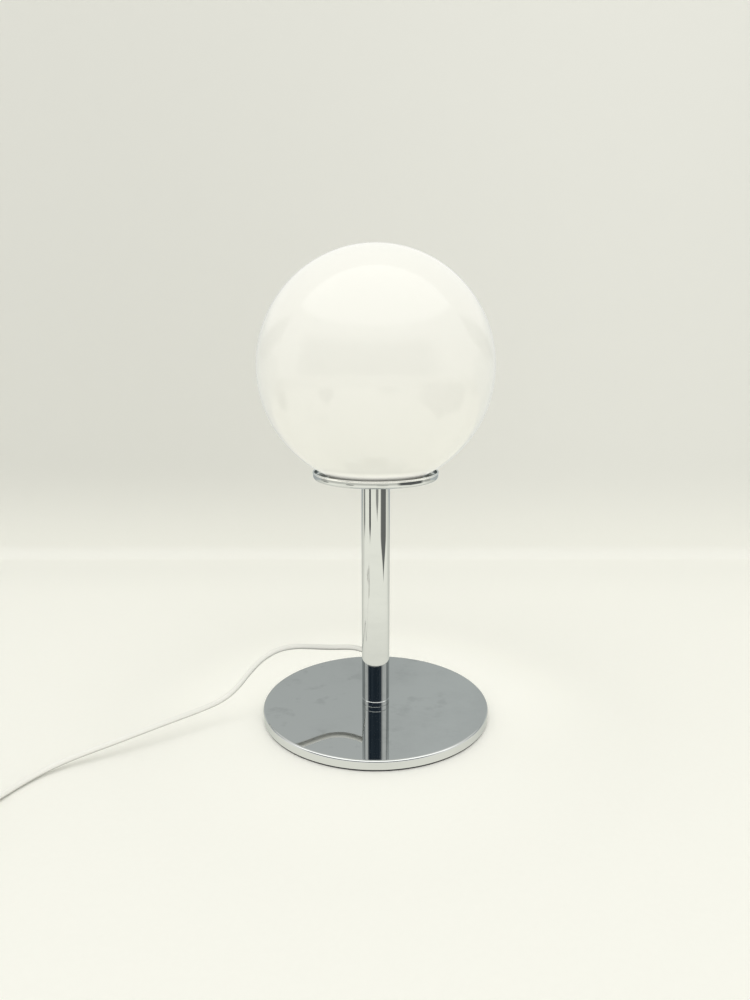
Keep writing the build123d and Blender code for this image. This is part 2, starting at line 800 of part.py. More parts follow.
# The rocker is drawn level about its pivot, and then tipped towards the lamp, which is off.
rocker_plane = Plane(
    origin=switch_level(pivot_height).origin,
    x_dir=(0, -cos(radians(rocker_tilt)), sin(radians(rocker_tilt))),
    z_dir=(-1, 0, 0),
)
with BuildPart() as switch_rocker:
    shoulder = radians(rocker_shoulder)
    heel = radians(rocker_heel)
    top_corner = (rocker_reach * cos(shoulder), rocker_reach * sin(shoulder))
    bottom_corner = (rocker_reach * cos(heel), -rocker_reach * sin(heel))
    keel_half, keel_depth = rocker_keel
    with BuildSketch(rocker_plane):
        with BuildLine():
            ThreePointArc(
                (-top_corner[0], top_corner[1]), (0, top_corner[1] - rocker_hollow), top_corner
            )
            ThreePointArc(top_corner, (rocker_reach, 0), bottom_corner)
            Polyline(
                bottom_corner,
                (keel_half, -keel_depth),
                (-keel_half, -keel_depth),
                (-bottom_corner[0], bottom_corner[1]),
            )
            ThreePointArc(
                (-bottom_corner[0], bottom_corner[1]), (-rocker_reach, 0), (-top_corner[0], top_corner[1])
            )
        make_face()
        Circle(rocker_pin_radius + running_clearance, mode=Mode.SUBTRACT)
    extrude(amount=rocker_width / 2, both=True)

with BuildPart() as rocker_pin:
    with BuildSketch(Plane(switch_level(pivot_height).origin, z_dir=(1, 0, 0))):
        Circle(rocker_pin_radius)
    extrude(amount=opening_half_width + rocker_lug, both=True)

with BuildPart() as switch_screws:
    head_seat = 2 * switch_screw_head_height
    with BuildSketch(switch_level(head_seat - switch_screw_head_height)):
        with Locations(*post_places):
            Circle(switch_screw_head)
    extrude(amount=switch_screw_head_height)
    with BuildSketch(switch_level(head_seat)):
        with Locations(*post_places):
            Circle(switch_screw_radius)
    extrude(amount=switch_cavity_top - switch_screw_end_gap - head_seat)

terminal_length, terminal_width, terminal_tall = switch_terminal_size
terminal_top = switch_wall + terminal_tall
with BuildPart() as switch_terminals:
    with BuildSketch(switch_level(switch_wall)):
        with Locations(
            (switch_terminal_place, terminal_width / 2), (-switch_terminal_place, terminal_width / 2)
        ):
            Rectangle(terminal_length, terminal_width)
    extrude(amount=terminal_tall)

with BuildPart() as switch_blade:
    blade_tail = -switch_terminal_place - terminal_length / 2
    blade_head = switch_terminal_place - terminal_length / 2 - 2 * blade_sheet
    with BuildSketch(switch_level(terminal_top)):
        with Locations(((blade_tail + blade_head) / 2, terminal_width / 2)):
            Rectangle(blade_head - blade_tail, blade_width)
    extrude(amount=blade_sheet)

sheath_gap = switch_length - 2 * switch_cord_grip
with BuildPart() as switch_wires:
    core_plane = Plane(
        origin=switch_plane.from_local_coords((-sheath_gap / 2, 0, switch_axis_height)),
        x_dir=(1, 0, 0),
        z_dir=(0, -1, 0),
    )
    far_core_plane = core_plane.offset(sheath_gap)
    stub = sheath_gap / 2 - switch_terminal_place - terminal_length / 2
    with BuildSketch(core_plane):
        with Locations((-core_offset, 0)):
            Circle(core_diameter / 2)
    extrude(amount=sheath_gap)
    with BuildSketch(core_plane):
        with Locations((core_offset, 0)):
            Circle(core_diameter / 2)
    extrude(amount=stub)
    with BuildSketch(far_core_plane):
        with Locations((core_offset, 0)):
            Circle(core_diameter / 2)
    extrude(amount=-stub)

# Free cord
print("lead corner radii", [round(r, 1) for r in corner_radii(lead_points)])
cord_lead = round_bar(lead_points, corner_radii(lead_points), cord_diameter)
print("link corner radii", [round(r, 1) for r in corner_radii(link_points)])
cord_link = round_bar(link_points, corner_radii(link_points), cord_diameter)

# Coil: clockwise from above, spiralling in on the lower layer, climbing to the upper layer in the
# half turn where the spiral reverses, and spiralling out again until the cord points along +Y.
spiral_rate = coil_pitch / (2 * pi)
start_lean = atan(spiral_rate / coil_outer_radius)
start_angle = -pi / 2 + start_lean
start_x, start_y, layer_height = link_points[-1]
coil_centre = (
    start_x - cord_diameter - coil_outer_radius * cos(start_angle),
    start_y - coil_outer_radius * sin(start_angle),
)
turn_in = coil_turns_in * 2 * pi
turn_climb = pi
inner_turn = coil_outer_radius - coil_turns_in * coil_pitch


def coil_state(swept):
    """Radius, its rate per radian, height and its rate per radian after an angle swept along the coil."""
    if swept <= turn_in:
        return coil_outer_radius - spiral_rate * swept, -spiral_rate, layer_height, 0.0
    climbed = swept - turn_in
    if climbed <= turn_climb:
        radius = inner_turn - spiral_rate * climbed * (1 - climbed / turn_climb)
        rate = -spiral_rate * (1 - 2 * climbed / turn_climb)
        height = layer_height + coil_pitch * (1 - cos(climbed)) / 2
        return radius, rate, height, coil_pitch * sin(climbed) / 2
    outward = climbed - turn_climb
    return inner_turn + spiral_rate * outward, spiral_rate, layer_height + coil_pitch, 0.0


def coil_point(swept):
    """Point on the middle line of the coil."""
    radius, _, height, _ = coil_state(swept)
    angle = start_angle - swept
    return Vector(coil_centre[0] + radius * cos(angle), coil_centre[1] + radius * sin(angle), height)


def coil_tangent(swept):
    """Unit direction of the cord there."""
    radius, rate, _, climb = coil_state(swept)
    angle = start_angle - swept
    return Vector(
        rate * cos(angle) + radius * sin(angle), rate * sin(angle) - radius * cos(angle), climb
    ).normalized()


def biarc(start, start_tangent, end, end_tangent):
    """Two tangent arcs of equal tangent length between two points with given directions."""
    chord = end - start
    tangents = start_tangent + end_tangent
    spread = 2 * (1 - start_tangent.dot(end_tangent))
    along = chord.dot(tangents)
    reach = (-along + sqrt(along**2 + spread * chord.dot(chord))) / spread
    first_pole = start + start_tangent * reach
    last_pole = end - end_tangent * reach
    middle = (first_pole + last_pole) * 0.5
    TangentArc(start, middle, tangent=start_tangent)
    TangentArc(middle, end, tangent=(last_pole - first_pole).normalized())


# The outward spiral ends where its direction is exactly +Y, at the left of the coil.
full_turns_out = coil_turns_in - 1
turn_out = full_turns_out * 2 * pi + 1.5 * pi + 2 * start_lean
end_radius = inner_turn + spiral_rate * turn_out
end_lean = atan(spiral_rate / end_radius)
turn_out += end_lean - start_lean
coil_sweep = turn_in + turn_climb + turn_out
quarter = pi / 2

with BuildPart() as cord_coil:
    with BuildLine() as coil_line:
        coil_start = Vector(*link_points[-1])
        Line(coil_start, coil_point(0))
        stations = [k * quarter for k in range(int(coil_sweep / quarter) + 1)] + [coil_sweep]
        for station, following in zip(stations, stations[1:]):
            biarc(
                coil_point(station), coil_tangent(station), coil_point(following), coil_tangent(following)
            )
        coil_end = coil_point(coil_sweep) + coil_tangent(coil_sweep) * cord_diameter
        Line(coil_point(coil_sweep), coil_end)
    with BuildSketch(Plane(coil_line.line @ 0, z_dir=coil_line.line % 0)):
        Circle(cord_radius)
    sweep()

print("coil end", coil_end, "direction", coil_tangent(coil_sweep))
coil_length = sum(edge.length for edge in coil_line.edges())
coil_share = cord_coil.part.volume / (pi * cord_radius**2 * coil_length)
print(f"coil: length {coil_length:.1f}, volume over section times length {coil_share:.4f}")

gap_steps = 700
gap_points = [coil_point(coil_sweep * k / gap_steps) for k in range(gap_steps + 1)]
apart = int(gap_steps / coil_sweep * quarter)
least_gap = min(
    dist(tuple(a), tuple(b)) - cord_diameter
    for i, a in enumerate(gap_points)
    for b in gap_points[i + apart:]
)
print(f"coil: least gap to itself {least_gap:.2f}")

with BuildPart() as coil_ties:
    band_in = inner_turn - spiral_rate * pi / 4 - cord_radius - tie_gap
    band_out = coil_outer_radius + cord_radius + tie_gap
    band_low = layer_height - cord_radius - tie_gap
    band_high = layer_height + coil_pitch + cord_radius + tie_gap
    for tie_angle in tie_angles:
        turn = radians(tie_angle)
        tie_plane = Plane(
            origin=(coil_centre[0], coil_centre[1], 0),
            x_dir=(cos(turn), sin(turn), 0),
            z_dir=(sin(turn), -cos(turn), 0),
        )
        with BuildSketch(tie_plane):
            with Locations(((band_in + band_out) / 2, (band_low + band_high) / 2)):
                band_wide = band_out - band_in
                band_tall = band_high - band_low
                RectangleRounded(band_wide + 2 * tie_sheet, band_tall + 2 * tie_sheet, 2 * tie_sheet)
                RectangleRounded(band_wide, band_tall, tie_sheet, mode=Mode.SUBTRACT)
        extrude(amount=tie_width / 2, both=True)

# Plug. In its own plane X runs across the pins and Z along them.
plug_axis_height = plug_face_height / 2
relief_tip = plug_neck_at + plug_relief_length
tail_points = [
    tuple(coil_end),
    (coil_end.X, coil_end.Y + tail_run, coil_end.Z),
    (coil_end.X, coil_end.Y + 2 * tail_run, plug_axis_height),
    (coil_end.X, coil_end.Y + 3 * tail_run, plug_axis_height),
]
print("tail points", [tuple(round(v, 2) for v in point) for point in tail_points])
print("tail corner radii", [round(r, 1) for r in corner_radii(tail_points)])
cord_tail = round_bar(tail_points, corner_radii(tail_points), cord_diameter)
plug_face = tail_points[-1][1] + relief_tip


def plug_station(behind):
    """A plane across the plug at a distance behind its face, with its Z along the pins."""
    return Plane(
        origin=(coil_end.X, plug_face - behind, plug_axis_height), x_dir=(1, 0, 0), z_dir=(0, 1, 0)
    )


with BuildPart() as plug_body:
    with BuildSketch(plug_station(0)):
        RectangleRounded(plug_face_width, plug_face_height, plug_face_corner)
    with BuildSketch(plug_station(plug_shoulder)):
        RectangleRounded(plug_face_width, plug_face_height, plug_face_corner)
    loft(ruled=True)
    with BuildSketch(plug_station(plug_shoulder)):
        RectangleRounded(plug_face_width, plug_face_height, plug_face_corner)
    with BuildSketch(plug_station(plug_waist_at)):
        RectangleRounded(*plug_waist, plug_waist_corner)
    with BuildSketch(plug_station(plug_neck_at)):
        RectangleRounded(2 * plug_neck_radius, 2 * plug_neck_radius, plug_neck_corner)
    loft(ruled=True)
    with BuildSketch(plug_station(plug_neck_at)):
        Circle(plug_neck_radius)
    with BuildSketch(plug_station(relief_tip)):
        Circle(plug_relief_tip_radius)
    loft(ruled=True)
    groove_step = plug_relief_length / (plug_groove_count + 1)
    for groove in range(plug_groove_count):
        place = plug_neck_at + (groove + 1) * groove_step
        taper = (plug_neck_radius - plug_relief_tip_radius) / plug_relief_length
        local_radius = plug_neck_radius - taper * (place - plug_neck_at)
        with BuildSketch(plug_station(place + plug_groove_width / 2)):
            Circle(2 * plug_neck_radius)
            Circle(local_radius - plug_groove_depth, mode=Mode.SUBTRACT)
        extrude(amount=plug_groove_width, mode=Mode.SUBTRACT)

pin_places = [(-pin_spacing / 2, 0), (pin_spacing / 2, 0)]
with BuildPart() as plug_pins:
    with BuildSketch(plug_station(0)):
        with Locations(*pin_places):
            Circle(pin_core_radius)
    extrude(amount=pin_sleeve_length)
    with BuildSketch(plug_station(-pin_sleeve_length)):
        with Locations(*pin_places):
            Circle(pin_radius)
    extrude(amount=pin_length - pin_sleeve_length)
    fillet(plug_pins.edges().group_by(Axis.Y)[-1], pin_radius / 2)

with BuildPart() as pin_sleeves:
    with BuildSketch(plug_station(0)):
        with Locations(*pin_places):
            Circle(pin_sleeve_radius)
            Circle(pin_core_radius + press_clearance, mode=Mode.SUBTRACT)
    extrude(amount=pin_sleeve_length)

pieces = {
    "base_pad": base_pad,
    "base_weight": base_weight,
    "base_cover": base_cover,
    "base_screw": base_screw,
    "foot_ring": foot_ring,
    "stem_tube": stem_tube,
    "stem_foot_insert": stem_foot_insert,
    "stem_top_insert": stem_top_insert,
    "nipple": nipple,
    "cord_bush": cord_bush,
    "stem_cord": stem_cord,
    "wire_live": wire_live,
    "wire_neutral": wire_neutral,
    "gallery_plate": gallery_plate,
    "gallery_rim": gallery_rim,
    "gallery_gasket": gallery_gasket,
    "globe_spring": globe_spring,
    "gallery_washer": gallery_washer,
    "gallery_nut": gallery_nut,
    "globe": globe,
    "holder_cap": holder_cap,
    "holder_insert": holder_insert,
    "holder_body": holder_body,
    "screw_shell": screw_shell,
    "centre_contact": centre_contact,
    "terminal_blocks": terminal_blocks,
    "terminal_screws": terminal_screws,
    "bulb_contact": bulb_contact,
    "bulb_insulator": bulb_insulator,
    "bulb_cap": bulb_cap,
    "bulb_housing": bulb_housing,
    "bulb_diffuser": bulb_diffuser,
    "switch_base": switch_base,
    "switch_cover": switch_cover,
    "switch_rocker": switch_rocker,
    "rocker_pin": rocker_pin,
    "switch_screws": switch_screws,
    "switch_terminals": switch_terminals,
    "switch_blade": switch_blade,
    "switch_wires": switch_wires,
    "cord_lead": cord_lead,
    "cord_link": cord_link,
    "cord_coil": cord_coil,
    "cord_tail": cord_tail,
    "coil_ties": coil_ties,
    "plug_body": plug_body,
    "plug_pins": plug_pins,
    "pin_sleeves": pin_sleeves,
}
for name, piece in pieces.items():
    piece.part.label = name
    export_step(piece.part, f"parts/{name}.step")
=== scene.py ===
# %% [markdown]
# # A globe table lamp
#
# An opal glass ball stands in a shallow chromed dish, on a chromed stem and a heavy chromed disc.
# A white cord comes out of the back of the stem. It carries a switch and a plug.
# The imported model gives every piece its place, in metres, so this lesson only adds what the eye sees:
# smooth surfaces, finishes, the cord, a studio and a camera.

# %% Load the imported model
import json
import math

import bmesh
import bpy
import numpy as np
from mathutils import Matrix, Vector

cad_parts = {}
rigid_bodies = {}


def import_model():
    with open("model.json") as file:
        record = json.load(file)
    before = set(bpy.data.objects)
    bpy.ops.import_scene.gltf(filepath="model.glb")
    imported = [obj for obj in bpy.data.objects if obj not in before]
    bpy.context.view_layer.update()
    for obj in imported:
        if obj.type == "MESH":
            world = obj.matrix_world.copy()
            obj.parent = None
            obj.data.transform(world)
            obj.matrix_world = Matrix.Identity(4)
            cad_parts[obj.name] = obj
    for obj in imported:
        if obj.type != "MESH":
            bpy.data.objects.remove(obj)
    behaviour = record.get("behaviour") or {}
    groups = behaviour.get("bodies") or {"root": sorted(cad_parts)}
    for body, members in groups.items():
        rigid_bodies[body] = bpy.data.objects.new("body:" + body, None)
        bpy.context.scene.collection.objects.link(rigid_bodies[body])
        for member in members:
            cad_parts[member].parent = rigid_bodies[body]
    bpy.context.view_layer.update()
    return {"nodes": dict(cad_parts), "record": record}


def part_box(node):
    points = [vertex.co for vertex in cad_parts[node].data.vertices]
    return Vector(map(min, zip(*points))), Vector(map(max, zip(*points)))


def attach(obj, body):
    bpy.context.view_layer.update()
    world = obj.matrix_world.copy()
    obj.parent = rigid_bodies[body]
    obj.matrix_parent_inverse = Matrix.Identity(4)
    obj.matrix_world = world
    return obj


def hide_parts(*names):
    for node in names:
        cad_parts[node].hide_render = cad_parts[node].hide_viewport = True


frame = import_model()
record = frame["record"]
slot_of = {part["node"]: part["material_slot"] for part in record["subparts"]}
body_of = {node: body for body, nodes in record["behaviour"]["bodies"].items() for node in nodes}
mm = 0.001
stage_objects = bpy.context.scene.collection.objects

# %% [markdown]
# ## Camera
#
# The photograph was taken with a wide telephone lens from a little above the ball, looking down.
# Focal length, height and tilt come from the ellipses of the base, the dish and the ball.
# A shift would give the same framing, but a plain tilt is what a hand-held camera has.

# %% Camera
camera_data = bpy.data.cameras.new("camera")
camera_data.sensor_width = 36.0
camera_data.lens = 27.0
camera = bpy.data.objects.new("camera", camera_data)
camera.location = (-0.6 * mm, -642.5 * mm, 333 * mm)
camera_tilt_down = 11.75
camera.rotation_euler = (math.radians(90 - camera_tilt_down), 0, 0)
stage_objects.link(camera)
bpy.context.scene.camera = camera
bpy.context.scene.view_settings.view_transform = "Standard"
print("camera at", tuple(camera.location), "lens", camera_data.lens)

# %% [markdown]
# ## Surfaces from arrays
#
# Nearly every piece of the lamp was turned, spun, blown or moulded, so it is a profile carried round
# an axis. A Screw modifier could do that, but arrays make the formula plain: a shape is a grid of
# points in two parameters, and one function sews any grid into a mesh.

# %% Grid to mesh
ring_steps = 192
weld_distance = 0.001 * mm
sharp_angle = math.radians(38)


def surface(name, grid, wrap_rows=True, wrap_columns=True, outwards=True):
    """Sews a grid of points, rows by columns by xyz, into quads, and joins the ends where it wraps."""
    rows, columns, _ = grid.shape
    index = np.arange(rows * columns).reshape(rows, columns)
    if wrap_rows:
        index = np.vstack((index, index[:1]))
    if wrap_columns:
        index = np.hstack((index, index[:, :1]))
    corners = (index[:-1, :-1], index[:-1, 1:], index[1:, 1:], index[1:, :-1])
    quads = np.stack(corners, axis=-1).reshape(-1, 4)
    mesh = bpy.data.meshes.new(name)
    mesh.from_pydata(grid.reshape(-1, 3).tolist(), [], quads.tolist())
    sewn = bmesh.new()
    sewn.from_mesh(mesh)
    bmesh.ops.remove_doubles(sewn, verts=sewn.verts, dist=weld_distance)
    if outwards:
        bmesh.ops.recalc_face_normals(sewn, faces=sewn.faces)
    sewn.to_mesh(mesh)
    sewn.free()
    mesh.polygons.foreach_set("use_smooth", np.ones(len(mesh.polygons), bool))
    mesh.set_sharp_from_angle(angle=sharp_angle)
    piece = bpy.data.objects.new(name, mesh)
    stage_objects.link(piece)
    return piece


def lathe(profile, steps=ring_steps):
    """Carries a profile of (r, z) round the Z axis: x = r cos t, y = r sin t, z = z."""
    t = np.linspace(0, 2 * np.pi, steps, endpoint=False)
    r = profile[:, :1]
    z = profile[:, 1:]
    return np.stack((r * np.cos(t), r * np.sin(t), z + 0 * t), axis=-1)


def arc(centre, radius, start, stop, steps=10):
    """Points of a circle: centre + radius (cos t, sin t), for t in degrees from start to stop."""
    t = np.radians(np.linspace(start, stop, steps))
    return np.column_stack((centre[0] + radius * np.cos(t), centre[1] + radius * np.sin(t)))


def rolled(centre, radius, start, stop, steps):
    """An arc with one more point along the tangent at each end, so that the flats beside it shade flat."""
    guard = 0.3
    ends = np.radians((start, stop))
    tangents = np.column_stack((-np.sin(ends), np.cos(ends))) * math.copysign(guard, stop - start)
    curve = arc(centre, radius, start, stop, steps)
    return np.vstack((curve[0] - tangents[0], curve, curve[-1] + tangents[1]))


def chain(*runs):
    """One profile from arcs and single points, given in millimetres, as metres."""
    return np.vstack([np.atleast_2d(run) for run in runs]) * mm


def dress(piece, *nodes):
    """The piece takes the place, the body and the finish of the nodes that it stands for."""
    slot = slot_of[nodes[0]]
    piece.data.materials.append(finishes[slot])
    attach(piece, body_of[nodes[0]])
    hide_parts(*nodes)
    print(piece.name, "stands for", ", ".join(nodes), "in", slot)
    return piece


print("a full turn has", ring_steps, "steps")

# %% [markdown]
# ## Shader maths
#
# Node trees are long to build by hand. This small class wraps one socket. Python's own operators add
# Math nodes, so a mask is written as an expression, and one method adds every other kind of node.

# %% Sockets as values


def operator(operation, reflected=False):
    """A method that adds a Math node for one of Python's operators, or for its reflected form."""

    def method(self, other):
        first, second = (other, self) if reflected else (self, other)
        return self.add("ShaderNodeMath", {"operation": operation}, {0: first, 1: second})

    return method


class Wire:
    """One output socket of a shader tree."""

    def __init__(self, tree, socket=None):
        self.tree = tree
        self.socket = socket

    def add(self, kind, settings=None, sockets=None, output=0):
        """Adds a node: first its settings, then a value or a wire for each socket."""
        node = self.tree.nodes.new(kind)
        for key, value in (settings or {}).items():
            setattr(node, key, value)
        for key, value in (sockets or {}).items():
            if isinstance(value, Wire):
                self.tree.links.new(value.socket, node.inputs[key])
            else:
                node.inputs[key].default_value = value
        return Wire(self.tree, node.outputs[output])

    __add__ = operator("ADD")
    __radd__ = operator("ADD", reflected=True)
    __sub__ = operator("SUBTRACT")
    __rsub__ = operator("SUBTRACT", reflected=True)
    __mul__ = operator("MULTIPLY")
    __rmul__ = operator("MULTIPLY", reflected=True)
    __truediv__ = operator("DIVIDE")
    __pow__ = operator("POWER")

    def between(self, low, high):
        """0 below low, 1 above high, and a smooth step from one to the other."""
        settings = {"interpolation_type": "SMOOTHSTEP"}
        return self.add("ShaderNodeMapRange", settings, {"Value": self, "From Min": low, "From Max": high})

    def mix(self, colour_at_0, colour_at_1):
        """A colour between two, with this wire as the share of the second."""
        sockets = {0: self, 6: colour_at_0, 7: colour_at_1}
        return self.add("ShaderNodeMix", {"data_type": "RGBA"}, sockets, output=2)


def rgb(red, green, blue):
    """A colour as a socket takes it."""
    return (red, green, blue, 1.0)


class Finish:
    """A material with a Principled shader, whose fixed numbers are set on the sockets directly."""

    def __init__(self, name, **fixed):
        self.material = bpy.data.materials.new(name)
        self.material.use_nodes = True
        self.tree = self.material.node_tree
        self.shader = self.tree.nodes["Principled BSDF"]
        self.start = Wire(self.tree)
        for key, value in fixed.items():
            self.shader.inputs[key.replace("_", " ").title().replace("Ior", "IOR")].default_value = value
        self.place = self.start.add("ShaderNodeTexCoord", output="Object")

    def noise(self, scale, detail=4.0, roughness=0.55, stretch=(1, 1, 1)):
        """Noise from 0 to 1 on Object coordinates; scale is about one over the size of a blot in metres."""
        place = self.start.add("ShaderNodeMapping", sockets={"Vector": self.place, "Scale": stretch})
        sockets = {"Vector": place, "Scale": scale, "Detail": detail, "Roughness": roughness}
        return self.start.add("ShaderNodeTexNoise", sockets=sockets)

    def axes(self):
        """X, Y and Z of the Object coordinates."""
        split = self.start.add("ShaderNodeSeparateXYZ", sockets={0: self.place}).socket.node
        return [Wire(self.tree, socket) for socket in split.outputs]

    def feed(self, **wires):
        """Links what varies over the surface to the shader."""
        for key, wire in wires.items():
            self.tree.links.new(wire.socket, self.shader.inputs[key.replace("_", " ").title()])
        return self.material

    def bump(self, height, depth):
        """A normal from a height between 0 and 1 that stands for a depth in metres."""
        sockets = {"Height": height, "Distance": depth, "Strength": 1.0}
        return self.start.add("ShaderNodeBump", sockets=sockets)


print("shader sockets ready")

# %% [markdown]
# ## Chrome, brass and steel
#
# Chrome plate is a mirror of about two thirds, a little blue. What makes it look like metal and not
# like a perfect mirror is small: the sheet under it is never quite flat, so reflections swim, and
# fingers and dust dull it in patches. Both are noise, one in the normal and one in the roughness.
# Dust and smudges lie on what faces up, so the flat top of the base gives back less light than the
# rest. The bead round the dish is given a near-white colour, a painted highlight. Height alone tells
# the three apart.

# %% Bright metals


def chrome_finish():
    """Mirror plate on gently wavy sheet: wiped smears, specks of dust, a dull flat top, a painted highlight
    on the bead.
    """
    chrome = Finish("chrome_plate", Metallic=1.0, Specular_Tint=rgb(0.70, 0.72, 0.72))
    up = chrome.axes()[2]
    smears = chrome.noise(16, 6, 0.6, (1, 1, 2.5)).between(0.45, 0.8)
    clean = smears.mix(rgb(0.66, 0.675, 0.675), rgb(0.615, 0.63, 0.63))

    plate_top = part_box("base_cover")[1].z
    from_plate_up = up.between(plate_top - 0.3 * mm, plate_top - 0.1 * mm)
    above_plate = up.between(plate_top + 0.1 * mm, plate_top + 0.2 * mm)
    smudges = chrome.noise(52, 4, 0.5).between(0.56, 0.74)
    wiped = smears.mix(rgb(0.58, 0.595, 0.59), rgb(0.53, 0.545, 0.54))
    dusty = smudges.mix(wiped, rgb(0.515, 0.53, 0.525))
    with_plate = (from_plate_up - above_plate).mix(clean, dusty)

    bead_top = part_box("gallery_rim")[1].z
    bead_highlight_mask = up.between(bead_top - 1.6 * mm, bead_top - 1.4 * mm)
    # The bead's near-white colour is a painted highlight: plain chrome gives back only about two thirds.
    painted_bead_highlight = rgb(0.97, 0.97, 0.95)
    colour = bead_highlight_mask.mix(with_plate, painted_bead_highlight)

    dust = chrome.noise(420, 2).between(0.72, 0.78)
    roughness = 0.035 + smears * 0.05 + dust * 0.1
    swim = chrome.bump(chrome.noise(26, 1.0), 0.035 * mm)
    return chrome.feed(Base_Color=colour, Roughness=roughness, Normal=swim)


def metal_finish(name, light, dark, roughness, groove_stretch):
    """Machined or pressed metal: two tones, and fine marks that run where the noise is stretched."""
    groove_depth = 0.01 * mm
    metal = Finish(name, Metallic=1.0)
    tone = metal.noise(90, 5)
    marks = metal.noise(700, 3, 0.6, groove_stretch)
    colour = tone.mix(light, dark)
    varied = roughness + (marks - 0.5) * 0.25
    return metal.feed(Base_Color=colour, Roughness=varied, Normal=metal.bump(marks, groove_depth))


turned = (0.15, 0.15, 6)
drawn = (4, 4, 0.2)
# Slot, name, light tone, dark tone, roughness and the way in which the marks run
worked_metals = [
    ("brass_turned", "turned_brass", rgb(0.78, 0.60, 0.28), rgb(0.62, 0.45, 0.19), 0.28, turned),
    ("steel_fastener", "zinc_steel", rgb(0.66, 0.66, 0.63), rgb(0.55, 0.56, 0.58), 0.34, turned),
    ("spring_steel", "spring_steel", rgb(0.52, 0.53, 0.55), rgb(0.42, 0.43, 0.46), 0.3, drawn),
    ("shell_aluminium", "pressed_aluminium", rgb(0.80, 0.81, 0.82), rgb(0.70, 0.71, 0.73), 0.3, turned),
    ("pin_metal", "nickel_pins", rgb(0.72, 0.70, 0.64), rgb(0.60, 0.58, 0.53), 0.22, drawn),
]
finishes = {"chrome_sheet": chrome_finish()}
for slot, *look in worked_metals:
    finishes[slot] = metal_finish(*look)
print("metals", [material.name for material in finishes.values()])

# %% [markdown]
# ## Opal glass
#
# The ball is clear glass flashed over a milky layer. It shades as softly as paper but shines like
# glass. True subsurface scattering would be slow and noisy here, so the milk is a pale base colour
# with slow clouding, and a very small glow stands for light that has gone through the wall. A band
# just above the rim glows more, because the wall guides light down to its foot in the dish. The clear
# skin is the shader's own specular layer with a slightly uneven blown surface.

# %% Opal glass


def opal_finish():
    """Milky white under a clear glossy skin, clouded a little as blown opal is, with light in its foot."""
    opal = Finish("opal_glass", Ior=1.52, Emission_Strength=0.35)
    cloud = opal.noise(14, 3)
    seeds = opal.noise(160, 2).between(0.74, 0.8)
    blown = opal.noise(9, 1.0)
    colour = cloud.mix(rgb(0.862, 0.858, 0.812), rgb(0.882, 0.878, 0.832))
    roughness = 0.05 + cloud * 0.04 + seeds * 0.06
    up = opal.axes()[2]
    globe_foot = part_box("globe")[0].z
    above_rim = up.between(globe_foot + 3.4 * mm, globe_foot + 7.0 * mm)
    well_above_rim = up.between(globe_foot + 7.5 * mm, globe_foot + 12.5 * mm)
    through_wall = rgb(0.126, 0.125, 0.118)
    along_wall = rgb(1.0, 0.99, 0.93)
    glow = (above_rim * (1 - well_above_rim)).mix(through_wall, along_wall)
    normal = opal.bump(blown, 0.25 * mm)
    return opal.feed(Base_Color=colour, Roughness=roughness, Emission_Color=glow, Normal=normal)


finishes["opal_glass"] = opal_finish()
print(finishes["opal_glass"].name)

# %% [markdown]
# ## Plastics, felt and iron
#
# Moulded plastics differ in gloss and in the grain of the mould, so one function serves them all. The
# cord's underside is painted darker than its top, a painted shade for the little light that gets under it.
# Felt and cast iron are rough, and their colour and their bumps come from the same noise: what stands
# proud of a rough surface is lighter and its hollows darker, partly painted shade and partly dirt.

# %% Plastics, felt and iron
mould_grain = 0.004 * mm


def dimmed(colour, share):
    """A colour with a share of its light."""
    return rgb(*[share * part for part in colour[:3]])


def plastic_finish(name, colour, roughness, grain_depth=mould_grain, shade=0.93, painted_underside_shade=1.0):
    """Moulded plastic: slow changes of tone, mould grain and handled gloss, and an underside painted darker
    as shade.
    """
    plastic = Finish(name, Ior=1.49)
    tone = plastic.noise(45, 3)
    grain = plastic.noise(2600, 2)
    handling = plastic.noise(120, 4).between(0.4, 0.75)
    shown = tone.mix(colour, dimmed(colour, shade))
    # Faces that look down are painted darker: painted shade under the cord.
    if painted_underside_shade < 1.0:
        facing = plastic.start.add("ShaderNodeNewGeometry", output="Normal")
        upwards = plastic.start.add("ShaderNodeSeparateXYZ", sockets={0: facing}, output="Z")
        shown = upwards.between(-0.6, 0.15).mix(dimmed(colour, painted_underside_shade), shown)
    varied = roughness + handling * 0.12 + (grain - 0.5) * 0.05
    normal = plastic.bump(grain, grain_depth)
    return plastic.feed(Base_Color=shown, Roughness=varied, Normal=normal)


def rough_finish(name, light, dark, scale, depth, roughness, metallic=0.0, sheen=0.0):
    """A coarse surface whose hollows are dark, partly painted shade and partly dirt: felt fibres, or the
    skin of a casting.
    """
    rough = Finish(name, Metallic=metallic, Sheen_Weight=sheen)
    height = rough.noise(scale, 8, 0.7)
    patches = rough.noise(scale / 25, 3)
    varied = roughness + (patches - 0.5) * 0.2
    normal = rough.bump(height, depth)
    # Hollows are darker than what stands proud: painted shade along with dirt.
    return rough.feed(Base_Color=height.mix(dark, light), Roughness=varied, Normal=normal)
